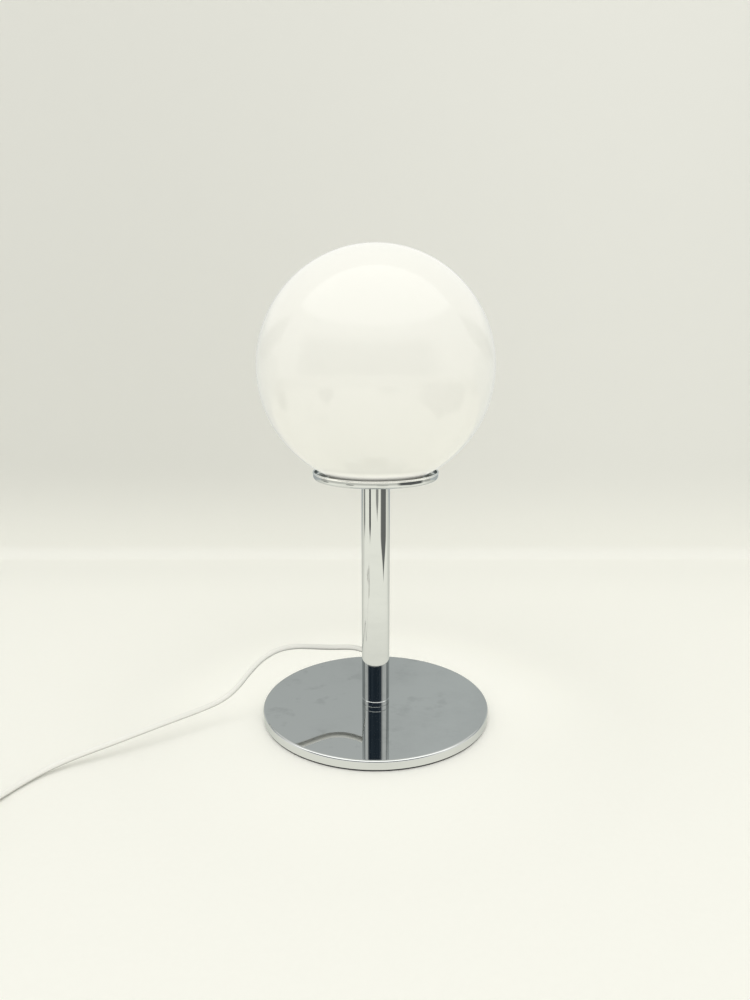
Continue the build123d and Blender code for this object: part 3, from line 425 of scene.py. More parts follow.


# Slot, name, colour and roughness, then depth of grain, darkest shade of the tone and the underside's
# painted shade where they differ
plastics = [
    ("cord_white", "cord_sheath", rgb(0.93, 0.925, 0.885), 0.42, 0.02 * mm, 0.97, 0.55),
    ("holder_white", "holder_plastic", rgb(0.82, 0.82, 0.78), 0.32),
    ("holder_ceramic", "insert_glazed", rgb(0.86, 0.85, 0.79), 0.2),
    ("switch_white", "switch_plastic", rgb(0.83, 0.83, 0.78), 0.32),
    ("rocker_white", "rocker_plastic", rgb(0.79, 0.79, 0.75), 0.31),
    ("plug_white", "plug_plastic", rgb(0.81, 0.81, 0.76), 0.45, 0.03 * mm),
    ("seal_rubber", "seal_rubber", rgb(0.72, 0.72, 0.68), 0.6, 0.03 * mm),
    ("core_brown", "core_brown", rgb(0.22, 0.09, 0.035), 0.4),
    ("core_blue", "core_blue", rgb(0.04, 0.13, 0.42), 0.4),
    ("bulb_black", "cap_insulator", rgb(0.02, 0.02, 0.022), 0.15, mould_grain, 0.7),
    ("bulb_white", "bulb_housing", rgb(0.86, 0.86, 0.84), 0.4),
    ("bulb_milk", "bulb_diffuser", rgb(0.91, 0.91, 0.87), 0.5, mould_grain, 0.97),
    ("sleeve_dark", "pin_sleeves", rgb(0.05, 0.05, 0.05), 0.4, mould_grain, 0.8),
]
# Slot, name, light tone, dark tone, scale of the noise, depth and roughness, then metal and sheen
rough_goods = [
    ("tie_white", "tie_fabric", rgb(0.86, 0.86, 0.83), rgb(0.62, 0.62, 0.6), 1600, 0.2 * mm, 0.85, 0.0, 0.3),
    ("felt", "base_felt", rgb(0.02, 0.02, 0.024), rgb(0.005, 0.005, 0.007), 900, 0.3 * mm, 0.92),
    ("ballast_iron", "cast_iron", rgb(0.2, 0.2, 0.21), rgb(0.09, 0.09, 0.1), 600, 0.2 * mm, 0.6, 1.0),
]
for slot, *look in plastics:
    finishes[slot] = plastic_finish(*look)
for slot, *look in rough_goods:
    finishes[slot] = rough_finish(*look)
for node, piece in frame["nodes"].items():
    for place in piece.material_slots:
        place.material = finishes[slot_of[node]]
print("finishes", len(finishes))

# %% [markdown]
# ## Cord
#
# The cord is a fixed length of something stiff. It leaves a bush in the back of the stem, bends round
# to the left, arches over the edge of the plate, comes down to the floor and goes out of the picture
# to a switch. A NURBS line with the route's points as its control points is smooth, as a cord is.
# The route is the same as in the solids, in millimetres.

# %% Cord from the stem to the switch
cord_diameter = 5.0
lead_points = [
    (-10.03, 9.03, 55.2),
    (-14.86, 13.38, 55.2),
    (-20.81, 16.68, 55.0),
    (-28.02, 18.75, 54.4),
    (-37.0, 19.22, 54.0),
    (-47.9, 17.7, 54.8),
    (-61.2, 12.8, 57.5),
    (-75.0, 7.4, 60.1),
    (-89.5, 1.4, 59.5),
    (-103.0, -4.3, 53.2),
    (-114.5, -9.0, 42.2),
    (-125.0, -13.4, 29.0),
    (-137.5, -19.3, 19.8),
    (-154.0, -30.5, 16.6),
    (-173.0, -45.3, 15.4),
    (-195.0, -62.2, 13.6),
    (-219.0, -78.5, 10.6),
    (-243.0, -91.5, 6.8),
    (-261.5, -105.5, 3.6),
    (-273.5, -123.5, 2.6),
    (-281.0, -141.0, 2.9),
    (-286.0, -156.5, 5.0),
    (-288.0, -171.0, 6.5),
    (-288.0, -184.0, 6.5),
]


def cord_line(name, points, steps):
    """A round cord on a smooth line, with the points as its control points."""
    data = bpy.data.curves.new(name, "CURVE")
    data.dimensions = "3D"
    data.bevel_depth = cord_diameter / 2 * mm
    data.bevel_resolution = 5
    data.resolution_u = steps
    data.use_fill_caps = True
    line = data.splines.new("NURBS")
    line.points.add(len(points) - 1)
    weighted = np.column_stack((np.array(points) * mm, np.ones(len(points))))
    line.points.foreach_set("co", weighted.ravel())
    line.order_u = 3
    line.use_endpoint_u = True
    piece = bpy.data.objects.new(name, data)
    stage_objects.link(piece)
    return piece


lead = dress(cord_line("lead_cord", lead_points, 10), "cord_lead")
print("control points", len(lead_points))

# %% [markdown]
# ## Coil
#
# The rest of the cord is put away beside the lamp, out of the picture: three turns inwards on the
# floor, half a turn in which it climbs, and three turns outwards on top. Radius and height are
# formulas of the angle, so the loops are worked out and not drawn.

# %% Cord from the switch through the coil to the plug
link_points = [
    (-288.0, -228.0, 6.5),
    (-288.0, -241.5, 6.5),
    (-293.5, -253.3, 5.6),
    (-303.5, -261.7, 4.7),
    (-316.7, -266.5, 4.1),
    (-330.6, -268.2, 3.9),
    (-343.6, -268.2, 3.9),
]
coil_outer_radius = 38.5
coil_pitch = 5.6
coil_turns_in = 3
coil_steps_each_turn = 24
coil_rate = coil_pitch / (2 * math.pi)
start_lean = math.atan(coil_rate / coil_outer_radius)
start_angle = -math.pi / 2 + start_lean
coil_centre = (
    link_points[-1][0] - cord_diameter - coil_outer_radius * math.cos(start_angle),
    link_points[-1][1] - coil_outer_radius * math.sin(start_angle),
)
layer_height = link_points[-1][2]
inner_turn = coil_outer_radius - coil_turns_in * coil_pitch
turn_in = coil_turns_in * 2 * math.pi
turn_out_before_lean = (coil_turns_in - 1) * 2 * math.pi + 1.5 * math.pi + 2 * start_lean
end_radius = inner_turn + coil_rate * turn_out_before_lean
turn_out = turn_out_before_lean + math.atan(coil_rate / end_radius) - start_lean


def coil_points():
    """Spiral in at one pitch a turn, r = r1 - k s (1 - s / pi) over the climb, and spiral out again."""
    whole = turn_in + math.pi + turn_out
    count = int(whole / (2 * math.pi) * coil_steps_each_turn)
    swept = np.linspace(0, whole, count + 1)
    climbed = np.clip(swept - turn_in, 0, math.pi)
    outward = np.clip(swept - turn_in - math.pi, 0, None)
    inward = np.clip(swept, 0, turn_in)
    radius = coil_outer_radius - coil_rate * (inward + climbed * (1 - climbed / math.pi) - outward)
    height = layer_height + coil_pitch * (1 - np.cos(climbed)) / 2
    angle = start_angle - swept
    x = coil_centre[0] + radius * np.cos(angle)
    y = coil_centre[1] + radius * np.sin(angle)
    return [tuple(point) for point in np.column_stack((x, y, height))]


coil = coil_points()
tail_run = 13.0
plug_axis_height = 6.85
tail_x, tail_y, tail_z = coil[-1]
tail_points = [
    (tail_x, tail_y + cord_diameter, tail_z),
    (tail_x, tail_y + cord_diameter + tail_run, tail_z),
    (tail_x, tail_y + cord_diameter + 2 * tail_run, plug_axis_height),
    (tail_x, tail_y + cord_diameter + 3 * tail_run, plug_axis_height),
]
supply_points = link_points + coil + tail_points
supply = dress(cord_line("supply_cord", supply_points, 4), "cord_link", "cord_coil", "cord_tail")
print("coil points", len(coil), "plug at", [round(v, 1) for v in tail_points[-1]])

# %% [markdown]
# ## Ties
#
# Two woven ties hold the coil. A tie is a flat strip carried round a rectangle with round corners.
# The strip's own section is a flat oval, so its edges are soft.

# %% Coil ties
tie_sheet = 1.0
tie_width = 5.0
tie_gap = 0.4
tie_angles = (45.0, 225.0)
tie_steps = 96
tie_squareness = 0.4


def rounded_rectangle(wide, tall, corner, steps):
    """Points and outward normals along a rectangle with round corners, from quarter circles."""
    quarter = steps // 4
    t = np.radians(np.concatenate([np.linspace(90 * k, 90 * k + 90, quarter) for k in range(4)]))
    signs = np.repeat([[1, 1], [-1, 1], [-1, -1], [1, -1]], quarter, axis=0)
    normals = np.column_stack((np.cos(t), np.sin(t)))
    centres = signs * (wide / 2 - corner, tall / 2 - corner)
    return centres + corner * normals, normals


def squarish(wave, power):
    """Bends a sine or a cosine towards a square wave: sign(w) |w|^power."""
    return np.sign(wave) * np.abs(wave) ** power


def tie_grid(angle):
    """The strip: middle line point + normal times a flat oval's height + width along the cord."""
    cord_radius = cord_diameter / 2
    inner = inner_turn - coil_rate * math.pi / 4 - cord_radius - tie_gap - tie_sheet / 2
    outer = coil_outer_radius + cord_radius + tie_gap + tie_sheet / 2
    low = layer_height - cord_radius - tie_gap - tie_sheet / 2
    high = layer_height + coil_pitch + cord_radius + tie_gap + tie_sheet / 2
    path, normals = rounded_rectangle(outer - inner, high - low, 1.5 * tie_sheet, tie_steps)
    path = path + ((outer + inner) / 2, (high + low) / 2)
    s = np.linspace(0, 2 * np.pi, 16, endpoint=False)
    across = tie_width / 2 * squarish(np.cos(s), tie_squareness)
    proud = tie_sheet / 2 * squarish(np.sin(s), tie_squareness)
    radial = path[:, :1] + normals[:, :1] * proud
    height = path[:, 1:] + normals[:, 1:] * proud
    along = across + 0 * radial
    turn = math.radians(angle)
    x = coil_centre[0] + radial * math.cos(turn) + along * math.sin(turn)
    y = coil_centre[1] + radial * math.sin(turn) - along * math.cos(turn)
    return np.stack((x, y, height), axis=-1) * mm


ties = [surface(f"coil_tie_{number}", tie_grid(angle)) for number, angle in enumerate(tie_angles, 1)]
for tie in ties:
    dress(tie, "coil_ties")

# %% [markdown]
# ## Base
#
# A pressed and polished cover hides a cast weight. Its edge is rolled over a small radius, which draws
# the bright line round the plate, and it stands on a dark felt pad that is set back a little, which
# draws the black line under it.

# %% Base cover and pad
base_radius = 103.0
base_top = 9.3
base_edge = 2.0
cover_sheet = 1.2
pad_top = 1.7
pad_inset = 0.7
screw_hole = 4.4


def cover_profile():
    """The section of a sheet: along the top, round the edge, down the skirt, and back inside."""
    edge_centre = (base_radius - base_edge, base_top - base_edge)
    return chain(
        (screw_hole, base_top),
        (0.5 * base_radius, base_top),
        rolled(edge_centre, base_edge, 90, 0, 14),
        (base_radius, pad_top),
        (base_radius - cover_sheet, pad_top),
        rolled(edge_centre, base_edge - cover_sheet, 0, 90, 8),
        (screw_hole, base_top - cover_sheet),
    )


def pad_profile():
    """A flat disc with soft edges, from the axis underneath to the axis on top."""
    soft = 0.5
    rim = base_radius - pad_inset - soft
    return chain(
        (0, 0),
        (0.6 * rim, 0),
        arc((rim, soft), soft, -90, 0, 5),
        arc((rim, pad_top - soft), soft, 0, 90, 5),
        (0, pad_top),
    )


dress(surface("base_plate", lathe(cover_profile(), 384)), "base_cover")
dress(surface("felt_pad", lathe(pad_profile()), wrap_rows=False), "base_pad")

# %% [markdown]
# ## Stem and foot ring
#
# The stem is a 25 mm chromed tube on a ring of the same diameter. The joints between them would be
# invisible if the edges were sharp, so each edge has a small chamfer that catches a line of light.

# %% Stem and foot ring


def heights(node):
    """The lowest and the highest z of a solid, in millimetres."""
    return [corner.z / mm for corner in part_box(node)]


stem_radius = 12.5
stem_wall = 1.5
ring_top, stem_top = heights("stem_tube")
spigot_top = heights("foot_ring")[1]
spigot_play = 0.05
edge_break = 0.35
tube_edge = 0.3


def ring_profile():
    """A short cylinder with broken edges, and the spigot that centres it in the tube."""
    spigot = stem_radius - stem_wall - spigot_play
    return chain(
        (screw_hole, base_top),
        (stem_radius - edge_break, base_top),
        (stem_radius, base_top + edge_break),
        (stem_radius, ring_top - edge_break),
        (stem_radius - edge_break, ring_top),
        (spigot, ring_top),
        (spigot, spigot_top),
        (screw_hole, spigot_top),
    )


def tube_profile():
    """The wall of the tube with its outer edges just broken."""
    bore = stem_radius - stem_wall
    return chain(
        (bore, ring_top),
        rolled((stem_radius - tube_edge, ring_top + tube_edge), tube_edge, -90, 0, 4),
        rolled((stem_radius - tube_edge, stem_top - tube_edge), tube_edge, 0, 90, 4),
        (bore, stem_top),
    )


dress(surface("foot_collar", lathe(ring_profile())), "foot_ring")
dress(surface("stem", lathe(tube_profile())), "stem_tube")

# %% [markdown]
# ## Gallery dish and seal
#
# The dish that carries the ball is spun from one disc of sheet. Its rim is rolled into a bead, which
# is stiffer and safer than a raw edge. The bright wire that it shows round the foot of the ball is a
# highlight painted into the chrome's colour.

# %% Gallery dish and seal
dish_radius = 54.3
dish_sheet = 1.0
dish_edge = 3.2
dish_height = 6.7
bead_radius = 0.85
nipple_hole = 5.4
gasket_inner = 35.4
gasket_outer = 41.0
dish_floor = stem_top + dish_sheet
gasket_top = heights("gallery_gasket")[1]


def dish_profile():
    """Floor, edge radius, wall and bead outside, and the same inside one sheet away."""
    edge_centre = (dish_radius - dish_edge, stem_top + dish_edge)
    bead_centre = (dish_radius - dish_sheet / 2, stem_top + dish_height - bead_radius)
    lean = math.degrees(math.acos(dish_sheet / 2 / bead_radius))
    return chain(
        (nipple_hole, stem_top),
        (0.5 * dish_radius, stem_top),
        rolled(edge_centre, dish_edge, -90, 0, 16),
        arc(bead_centre, bead_radius, -lean, 180 + lean, 20),
        rolled(edge_centre, dish_edge - dish_sheet, 0, -90, 12),
        (nipple_hole, dish_floor),
    )


def gasket_profile():
    """A flat soft ring with round edges."""
    soft = 0.4
    return chain(
        arc((gasket_inner + soft, dish_floor + soft), soft, 270, 180, 4),
        arc((gasket_inner + soft, gasket_top - soft), soft, 180, 90, 4),
        arc((gasket_outer - soft, gasket_top - soft), soft, 90, 0, 4),
        arc((gasket_outer - soft, dish_floor + soft), soft, 0, -90, 4),
    )


dress(surface("gallery", lathe(dish_profile(), 256)), "gallery_plate", "gallery_rim")
dress(surface("seal_ring", lathe(gasket_profile())), "gallery_gasket")

# %% [markdown]
# ## Ball
#
# Blown in a mould and cut at the mouth, the ball is two spheres, one inside the other, joined by a
# ground and fire-polished rim. One closed profile from pole to pole has both, so the wall is real.

# %% Glass ball
globe_radius = 100.0
globe_wall = 3.0
globe_rim = 38.0
globe_mouth = 35.0
globe_polish = 0.6
globe_ease = 0.6
globe_seat = heights("globe")[0]
globe_centre = globe_seat + math.sqrt(globe_radius**2 - globe_rim**2)


def globe_profile():
    """From the inner pole down to the mouth, over the rim, eased a little, and up to the outer pole."""
    inner = globe_radius - globe_wall
    mouth_angle = -math.degrees(math.acos(globe_mouth / inner))
    rim_angle = -math.degrees(math.acos(globe_rim / globe_radius))
    centre = (0, globe_centre)
    return chain(
        arc(centre, inner, 90, mouth_angle, 90),
        arc((globe_mouth + globe_polish, globe_seat + globe_polish), globe_polish, 180, 270, 5),
        arc((globe_rim - globe_polish, globe_seat + globe_polish), globe_polish, 270, 315, 4),
        arc(centre, globe_radius, rim_angle + globe_ease, 90, 120),
    )


dress(surface("glass_ball", lathe(globe_profile(), 320), wrap_rows=False), "globe")

# %% [markdown]
# ## Lampholder
#
# Inside the ball, and seen when it is lifted off, stand a moulded lampholder and a bulb. The holder's
# collar is ribbed for fingers. The bulb's cap has the round thread of its standard, a wave whose
# phase grows once a turn, and the shell that takes it has the same wave.

# %% Lampholder
thread_pitch = 3.63
holder_cap_low, holder_cap_high = heights("holder_cap")
holder_top = heights("holder_body")[1]
shell_low, shell_high = heights("screw_shell")
holder_radius = 20.7
collar_radius = 21.8
holder_top_radius = 18.6
holder_mouth = 14.15
insert_bore = 19.85
body_bore = 16.2


def waved(grid, amount, shown):
    """Adds a helical wave to the radius: amount cos(2 pi z / pitch - t) on the rows that are shown."""
    t = np.arctan2(grid[..., 1], grid[..., 0])
    wave = amount * mm * np.cos(2 * np.pi * grid[..., 2] / (thread_pitch * mm) - t)
    outward = np.stack((np.cos(t), np.sin(t), 0 * t), axis=-1)
    return grid + outward * (wave * shown[:, None])[..., None]


def ribbed(grid, amount, count, low, high):
    """Presses finger ribs in: the radius loses amount (1 + cos(count t)) / 2 between two heights."""
    fade_run = 1.0
    t = np.arctan2(grid[..., 1], grid[..., 0])
    z = grid[..., 2] / mm
    fade = np.clip((z - low) / fade_run, 0, 1) * np.clip((high - z) / fade_run, 0, 1)
    outward = np.stack((np.cos(t), np.sin(t), 0 * t), axis=-1)
    return grid - outward * (amount * mm * (1 + np.cos(count * t)) / 2 * fade)[..., None]


def rise(radius, low, high, steps):
    """A straight upright run with points to carry a wave or ribs."""
    return np.column_stack((np.full(steps, radius), np.linspace(low, high, steps)))


def holder_body_grid():
    """Collar with ribs, a taper to the mouth, and the bore inside."""
    collar_high = holder_cap_high + 11.0
    collar_rows = 24
    lip = 2.0
    edge = 1.0
    rib_depth = 0.5
    rib_count = 36
    rib_margin = 1.5
    profile = chain(
        (insert_bore, holder_cap_high),
        rise(collar_radius, holder_cap_high, collar_high, collar_rows),
        arc((holder_top_radius - edge, holder_top - edge), edge, 8, 90, 6),
        (holder_mouth, holder_top),
        (holder_mouth, holder_top - lip),
        (body_bore, holder_top - lip),
        (body_bore, shell_low),
        (insert_bore, shell_low),
    )
    grid = lathe(profile, 288)
    collar = slice(1, 1 + collar_rows)
    ribs_low = holder_cap_high + rib_margin
    grid[collar] = ribbed(grid[collar], rib_depth, rib_count, ribs_low, collar_high - rib_margin)
    return grid


def holder_cap_profile():
    """Boss, domed shoulder and skirt outside, and the same inside a wall away."""
    bore = 5.05
    boss = 8.0
    boss_high = holder_cap_low + 8.0
    dome_low = holder_cap_low + 5.0
    dome_high = holder_cap_low + 16.0
    shoulder = 5.0
    wall = 2.0
    return chain(
        (bore, holder_cap_low),
        (boss, holder_cap_low),
        (boss, dome_low),
        (holder_radius - 3.2, dome_high - 2.9),
        arc((holder_radius - shoulder, dome_high + 1.6), shoulder, -40, 0, 8),
        (holder_radius, holder_cap_high),
        (holder_radius - wall, holder_cap_high),
        (holder_radius - wall, dome_high + 1),
        (boss, boss_high),
        (bore, boss_high),
    )


def shell_grid():
    """A thin sleeve that carries the thread's wave, on a flat flange."""
    bore = 13.35
    sheet = 0.45
    flange = 2.0
    flange_points = 4
    wave_height = 0.15
    outer = rise(bore + sheet, shell_low + 1.5, shell_high, 60)
    profile = chain(
        (bore - flange, shell_low),
        (bore + sheet + flange, shell_low),
        (bore + sheet + flange, shell_low + sheet),
        (bore + sheet, shell_low + sheet),
        outer,
        outer[::-1] - (sheet, 0),
        (bore, shell_low + sheet),
        (bore - flange, shell_low + sheet),
    )
    shown = np.zeros(len(profile))
    shown[flange_points:flange_points + 2 * len(outer)] = 1
    return waved(lathe(profile, 128), wave_height, shown)


dress(surface("holder_collar", holder_body_grid()), "holder_body")
dress(surface("holder_dome", lathe(holder_cap_profile())), "holder_cap")
dress(surface("threaded_shell", shell_grid()), "screw_shell")

# %% [markdown]
# ## Bulb
#
# The bulb is a ball with a milky dome, a white neck and a pressed metal cap. The neck leaves the dome
# along the dome's own direction, so no crease shows at the seam. A spline could do that too, but the
# one circle that leaves a point along a given line and meets a second point has a short formula.

# %% Bulb
bulb_radius = 30.0
bulb_wall = 1.2
bulb_seam_drop = 15.5
bulb_neck = 13.8
bulb_seam, bulb_top = heights("bulb_diffuser")
bulb_centre = bulb_top - bulb_radius
cap_low, cap_high = heights("bulb_cap")
contact_low, contact_high = heights("bulb_contact")
cap_radius = 13.0
tip_radius = 4.8


def tangent_arc(start, heading, end, steps):
    """The circle through start and end that leaves start along heading: its radius is d.d / (2 d.n)."""
    start = np.array(start)
    step = np.array(end) - start
    normal = np.array((-heading[1], heading[0])) / math.hypot(*heading)
    radius = step.dot(step) / (2 * step.dot(normal))
    centre = start + radius * normal
    first = math.degrees(math.atan2(*(start - centre)[::-1]))
    last = math.degrees(math.atan2(*(np.array(end) - centre)[::-1]))
    return arc(centre, abs(radius), first, first + (last - first + 180) % 360 - 180, steps)


def diffuser_profile():
    """A sphere from its seam to its pole, and back inside a wall away."""
    drop = math.degrees(math.asin(bulb_seam_drop / bulb_radius))
    centre = (0, bulb_centre)
    return chain(
        arc(centre, bulb_radius - bulb_wall, 90, -drop, 40),
        arc(centre, bulb_radius, -drop, 90, 48),
    )


def housing_profile():
    """From the seam, along the ball's own direction, in one arc to the neck, and back inside."""
    lip_radius = 0.2
    lip_drop = 0.6
    seam = math.sqrt(bulb_radius**2 - bulb_seam_drop**2)
    heading = (-bulb_seam_drop, -seam)
    outer = tangent_arc((seam, bulb_seam), heading, (bulb_neck, cap_high), 32)
    lip = arc((seam - lip_radius, bulb_seam - lip_drop), lip_radius, 0, 90, 3)
    return chain(outer[2:], outer[::-1] - (bulb_wall, 0), lip[::-1])


def bulb_cap_grid():
    """A pressed thread on a thin cap: its crest is at the cap's radius, and it runs out at both ends."""
    depth = 0.9
    sheet = 0.4
    run_out = 2.5
    outer = rise(cap_radius - depth / 2, cap_low, cap_high, 90)
    inner = rise(cap_radius - depth - sheet, cap_low, cap_high, 2)
    profile = chain(outer, inner[::-1])
    shown = np.zeros(len(profile))
    from_end = np.minimum(outer[:, 1] - cap_low, cap_high - outer[:, 1])
    shown[:len(outer)] = np.clip(from_end / run_out, 0, 1)
    return waved(lathe(profile, 128), depth / 2, shown)


def insulator_profile():
    """A shallow black cone between the cap and the centre contact."""
    shoulder = 11.9
    edge = 0.5
    return chain(
        (0, contact_high),
        (tip_radius, contact_high),
        arc((shoulder, cap_low - edge), edge, -40, 90, 5),
        (0, cap_low),
    )


def contact_profile():
    """A soldered button: flat top, rounded foot."""
    edge = 0.6
    return chain(
        (0, contact_low),
        arc((tip_radius - edge, contact_low + edge), edge, -90, 0, 6),
        (tip_radius, contact_high),
        (0, contact_high),
    )


dress(surface("bulb_dome", lathe(diffuser_profile()), wrap_rows=False), "bulb_diffuser")
dress(surface("bulb_neck", lathe(housing_profile())), "bulb_housing")
dress(surface("bulb_thread", bulb_cap_grid()), "bulb_cap")
dress(surface("bulb_cone", lathe(insulator_profile()), wrap_rows=False), "bulb_insulator")
dress(surface("bulb_button", lathe(contact_profile()), wrap_rows=False), "bulb_contact")

# %% [markdown]
# ## Plug
#
# A moulded plug is a skin over soft corners: wide and flat at the pins, round at the cord. Each cross
# section is a superellipse, and its two half sizes and its squareness change along the plug. The
# strain relief has grooves so that it can bend.

# %% Plug
plug_x = tail_x
plug_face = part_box("plug_body")[1].y / mm
plug_length = plug_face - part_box("plug_body")[0].y / mm
plug_stations = np.array([0, 9, 16, 24, 31, 36, 56])
plug_half_width = np.array([17.5, 17.4, 13.8, 9.4, 6.6, 4.8, 3.25])
plug_half_height = np.array([6.8, 6.8, 6.6, 6.15, 5.4, 4.8, 3.25])
plug_squareness = np.array([4.5, 4.5, 4.0, 3.2, 2.4, 2.0, 2.0])
plug_edge = 1.2
relief_start = 37.2
relief_stop = 54.5
first_groove = 38.0
groove_pitch = 4.0
groove_depth = 0.6
grip_place = 15
grip_length = 4.5
grip_depth = 0.7


def smooth_through(x, stations, values):
    """Values at x on straight runs between the stations, averaged over a short window."""
    window = np.linspace(-2.0, 2.0, 9)
    return np.mean([np.interp(x + shift, stations, values) for shift in window], axis=0)


def plug_grid():
    """x = a sign(cos t) |cos t|^(2/n), z = b sign(sin t) |sin t|^(2/n), with a, b, n along the plug."""
    behind = np.concatenate((np.linspace(0, plug_edge, 7), np.linspace(1.8, plug_length, 150)))
    short_of_edge = np.clip(plug_edge - behind, 0, None)
    round_off = plug_edge - np.sqrt(plug_edge**2 - short_of_edge**2)
    wide = smooth_through(behind, plug_stations, plug_half_width) - round_off
    tall = smooth_through(behind, plug_stations, plug_half_height) - round_off
    square = smooth_through(behind, plug_stations, plug_squareness)
    ripple = np.cos(2 * np.pi * (behind - first_groove) / groove_pitch)
    in_relief = (behind > relief_start) & (behind < relief_stop)
    groove = groove_depth * np.clip(4 * ripple, 0, 1) * in_relief
    grip = grip_depth * np.exp(-(((behind - grip_place) / grip_length) ** 2))
    t = np.linspace(0, 2 * np.pi, 96, endpoint=False)
    power = (2 / square)[:, None]
    x = (wide - groove)[:, None] * squarish(np.cos(t), power)
    z = (tall - groove - grip)[:, None] * squarish(np.sin(t), power)
    y = (plug_face - behind)[:, None] + 0 * t
    body = np.stack((plug_x + x, y, plug_axis_height + z), axis=-1)
    nose = np.broadcast_to([plug_x, plug_face, plug_axis_height], body[:1].shape)
    heel = np.broadcast_to([plug_x, plug_face - plug_length, plug_axis_height], body[:1].shape)
    return np.concatenate((nose, body, heel)) * mm


def along_pins(grid, x):
    """Turns a lathe's Z to +Y and sets it on a pin's axis."""
    place = np.array([x, plug_face, plug_axis_height]) * mm
    return np.stack((grid[..., 0], grid[..., 2], -grid[..., 1]), axis=-1) + place


pin_spacing = 18.6
pin_length = 19.0
sleeve_length = 10.0
pin_radius = 2.0
pin_break = 0.1
pin_core = 1.3
sleeve_bore = 1.35
sleeve_radius = 1.7
pin_profile = chain(
    (0, 0),
    (pin_core, 0),
    (pin_core, sleeve_length),
    (pin_radius, sleeve_length + pin_break),
    arc((pin_radius / 2, pin_length - pin_radius / 2), pin_radius / 2, 0, 90, 8),
    (0, pin_length),
)
sleeve_profile = chain(
    (sleeve_bore, 0),
    (sleeve_radius, 0),
    (sleeve_radius, sleeve_length - pin_break),
    (sleeve_radius - pin_break, sleeve_length),
    (sleeve_bore, sleeve_length),
)
plug = dress(surface("plug_moulding", plug_grid(), wrap_rows=False), "plug_body")
plug_parts = [plug]
for side, name in ((-1, "left"), (1, "right")):
    pin_x = plug_x + side * pin_spacing / 2
    pin = surface(f"plug_pin_{name}", along_pins(lathe(pin_profile, 48), pin_x), wrap_rows=False)
    sleeve = surface(f"pin_sleeve_{name}", along_pins(lathe(sleeve_profile, 48), pin_x))
    plug_parts += [dress(pin, "plug_pins"), dress(sleeve, "pin_sleeves")]

# %% [markdown]
# ## What the cord is
#
# The lead runs from the stem to the switch, and the supply runs from the switch to the plug.

# %% [markdown]
# ## Studio
#
# The lamp stands on a white sheet that turns up into a wall. A wide soft light hangs overhead. Chrome
# shows the whole room, so the room matters as much as the lights: the plate shows the wall, the stem
# shows the floor, and low on the stem, by way of the plate, one sees the dark side of the room behind
# the camera. The sheet's looks in a mirror are set apart from its looks to the eye, with Light Path.
# Round the base the sheet has a faint painted glow, which lifts the shadow there as light from the room
# would.

# %% White sheet
floor_front = -2.6
floor_back = 0.49
cove_radius = 0.02
wall_height = 2.4
sheet_half_width = 2.6
room_light = rgb(0.97, 0.97, 0.935)
# Dark wedges that the stem shows on the floor, each with its point towards the lamp: bearing and half
# width in degrees, then where it starts, has its full width and stops, in metres, and its depth
floor_wedges = [
    (-46, 8.5, 0.60, 0.76, 1.12, 0.96),
    (-100, 9.0, 0.62, 0.80, 1.12, 0.75),
    (12, 12.0, 0.76, 1.00, 1.12, 0.70),
    (66, 30.0, 0.38, 0.68, 1.60, 0.85),
]


def sheet_grid():
    """Floor, a quarter circle and a wall in the YZ plane, carried along X."""
    cove = arc((floor_back, cove_radius), cove_radius, -90, 0, 16)
    floor = [[floor_front, 0], [-0.6, 0], [0, 0]]
    outline = np.vstack((floor, cove, [[floor_back + cove_radius, wall_height]]))
    x = np.linspace(-sheet_half_width, sheet_half_width, 9)
    y = outline[:, :1] + 0 * x
    z = outline[:, 1:] + 0 * x
    return np.stack((x + 0 * y, y, z), axis=-1)


def mirrored_floor(across, behind, away):
    """Share of the floor's light that a mirror shows: less close by, far off or behind, and dark wedges."""
    near_light = 0.89
    far_loss = 0.36
    behind_loss = 0.18
    least_width = 0.001
    bearing = across.add("ShaderNodeMath", {"operation": "ARCTAN2"}, {0: across, 1: 0 - behind})
    light = near_light + (1 - near_light) * away.between(0.13, 0.32)
    light = light - far_loss * away.between(1.05, 1.25) - behind_loss * behind.between(0.05, 0.25)
    for direction, half_width, start, full, stop, depth in floor_wedges:
        opening = away.between(start, full)
        spread = (bearing - math.radians(direction)) / (math.radians(half_width) * opening + least_width)
        inside = (1 - (spread * spread).between(0.4, 1.0)) * opening.between(0.0, 0.04)
        before_stop = 1 - away.between(stop, 1.1 * stop)
        light = light * (1 - inside * before_stop * depth)
    return light


def mirrored_wall(across, height):
    """The wall in a mirror: grey in the middle, light higher up, and a slanting band of shade each side."""
    slope = height / ((across * across) ** 0.5 + 0.01)
    in_shade = slope.between(0.36, 0.44) * (1 - slope.between(0.66, 0.84)) * height.between(0.32, 0.38)
    middle = across.between(-0.05, 0.15).mix(rgb(0.625, 0.65, 0.635), rgb(0.66, 0.69, 0.675))
    bright_above = height.between(0.42, 0.6).mix(middle, room_light)
    return in_shade.mix(bright_above, rgb(0.42, 0.44, 0.43))


def painted_fill_glow(behind, away):
    """A faint painted glow of the floor round the base, strongest behind it, that lifts the shade there."""
    front_share = 0.45
    rear = behind.between(-0.08, 0.04)
    filled = (front_share + (1 - front_share) * rear) * (1 - away.between(0.10, 0.24))
    return filled.mix(rgb(0.0, 0.0, 0.0), rgb(0.115, 0.115, 0.108))


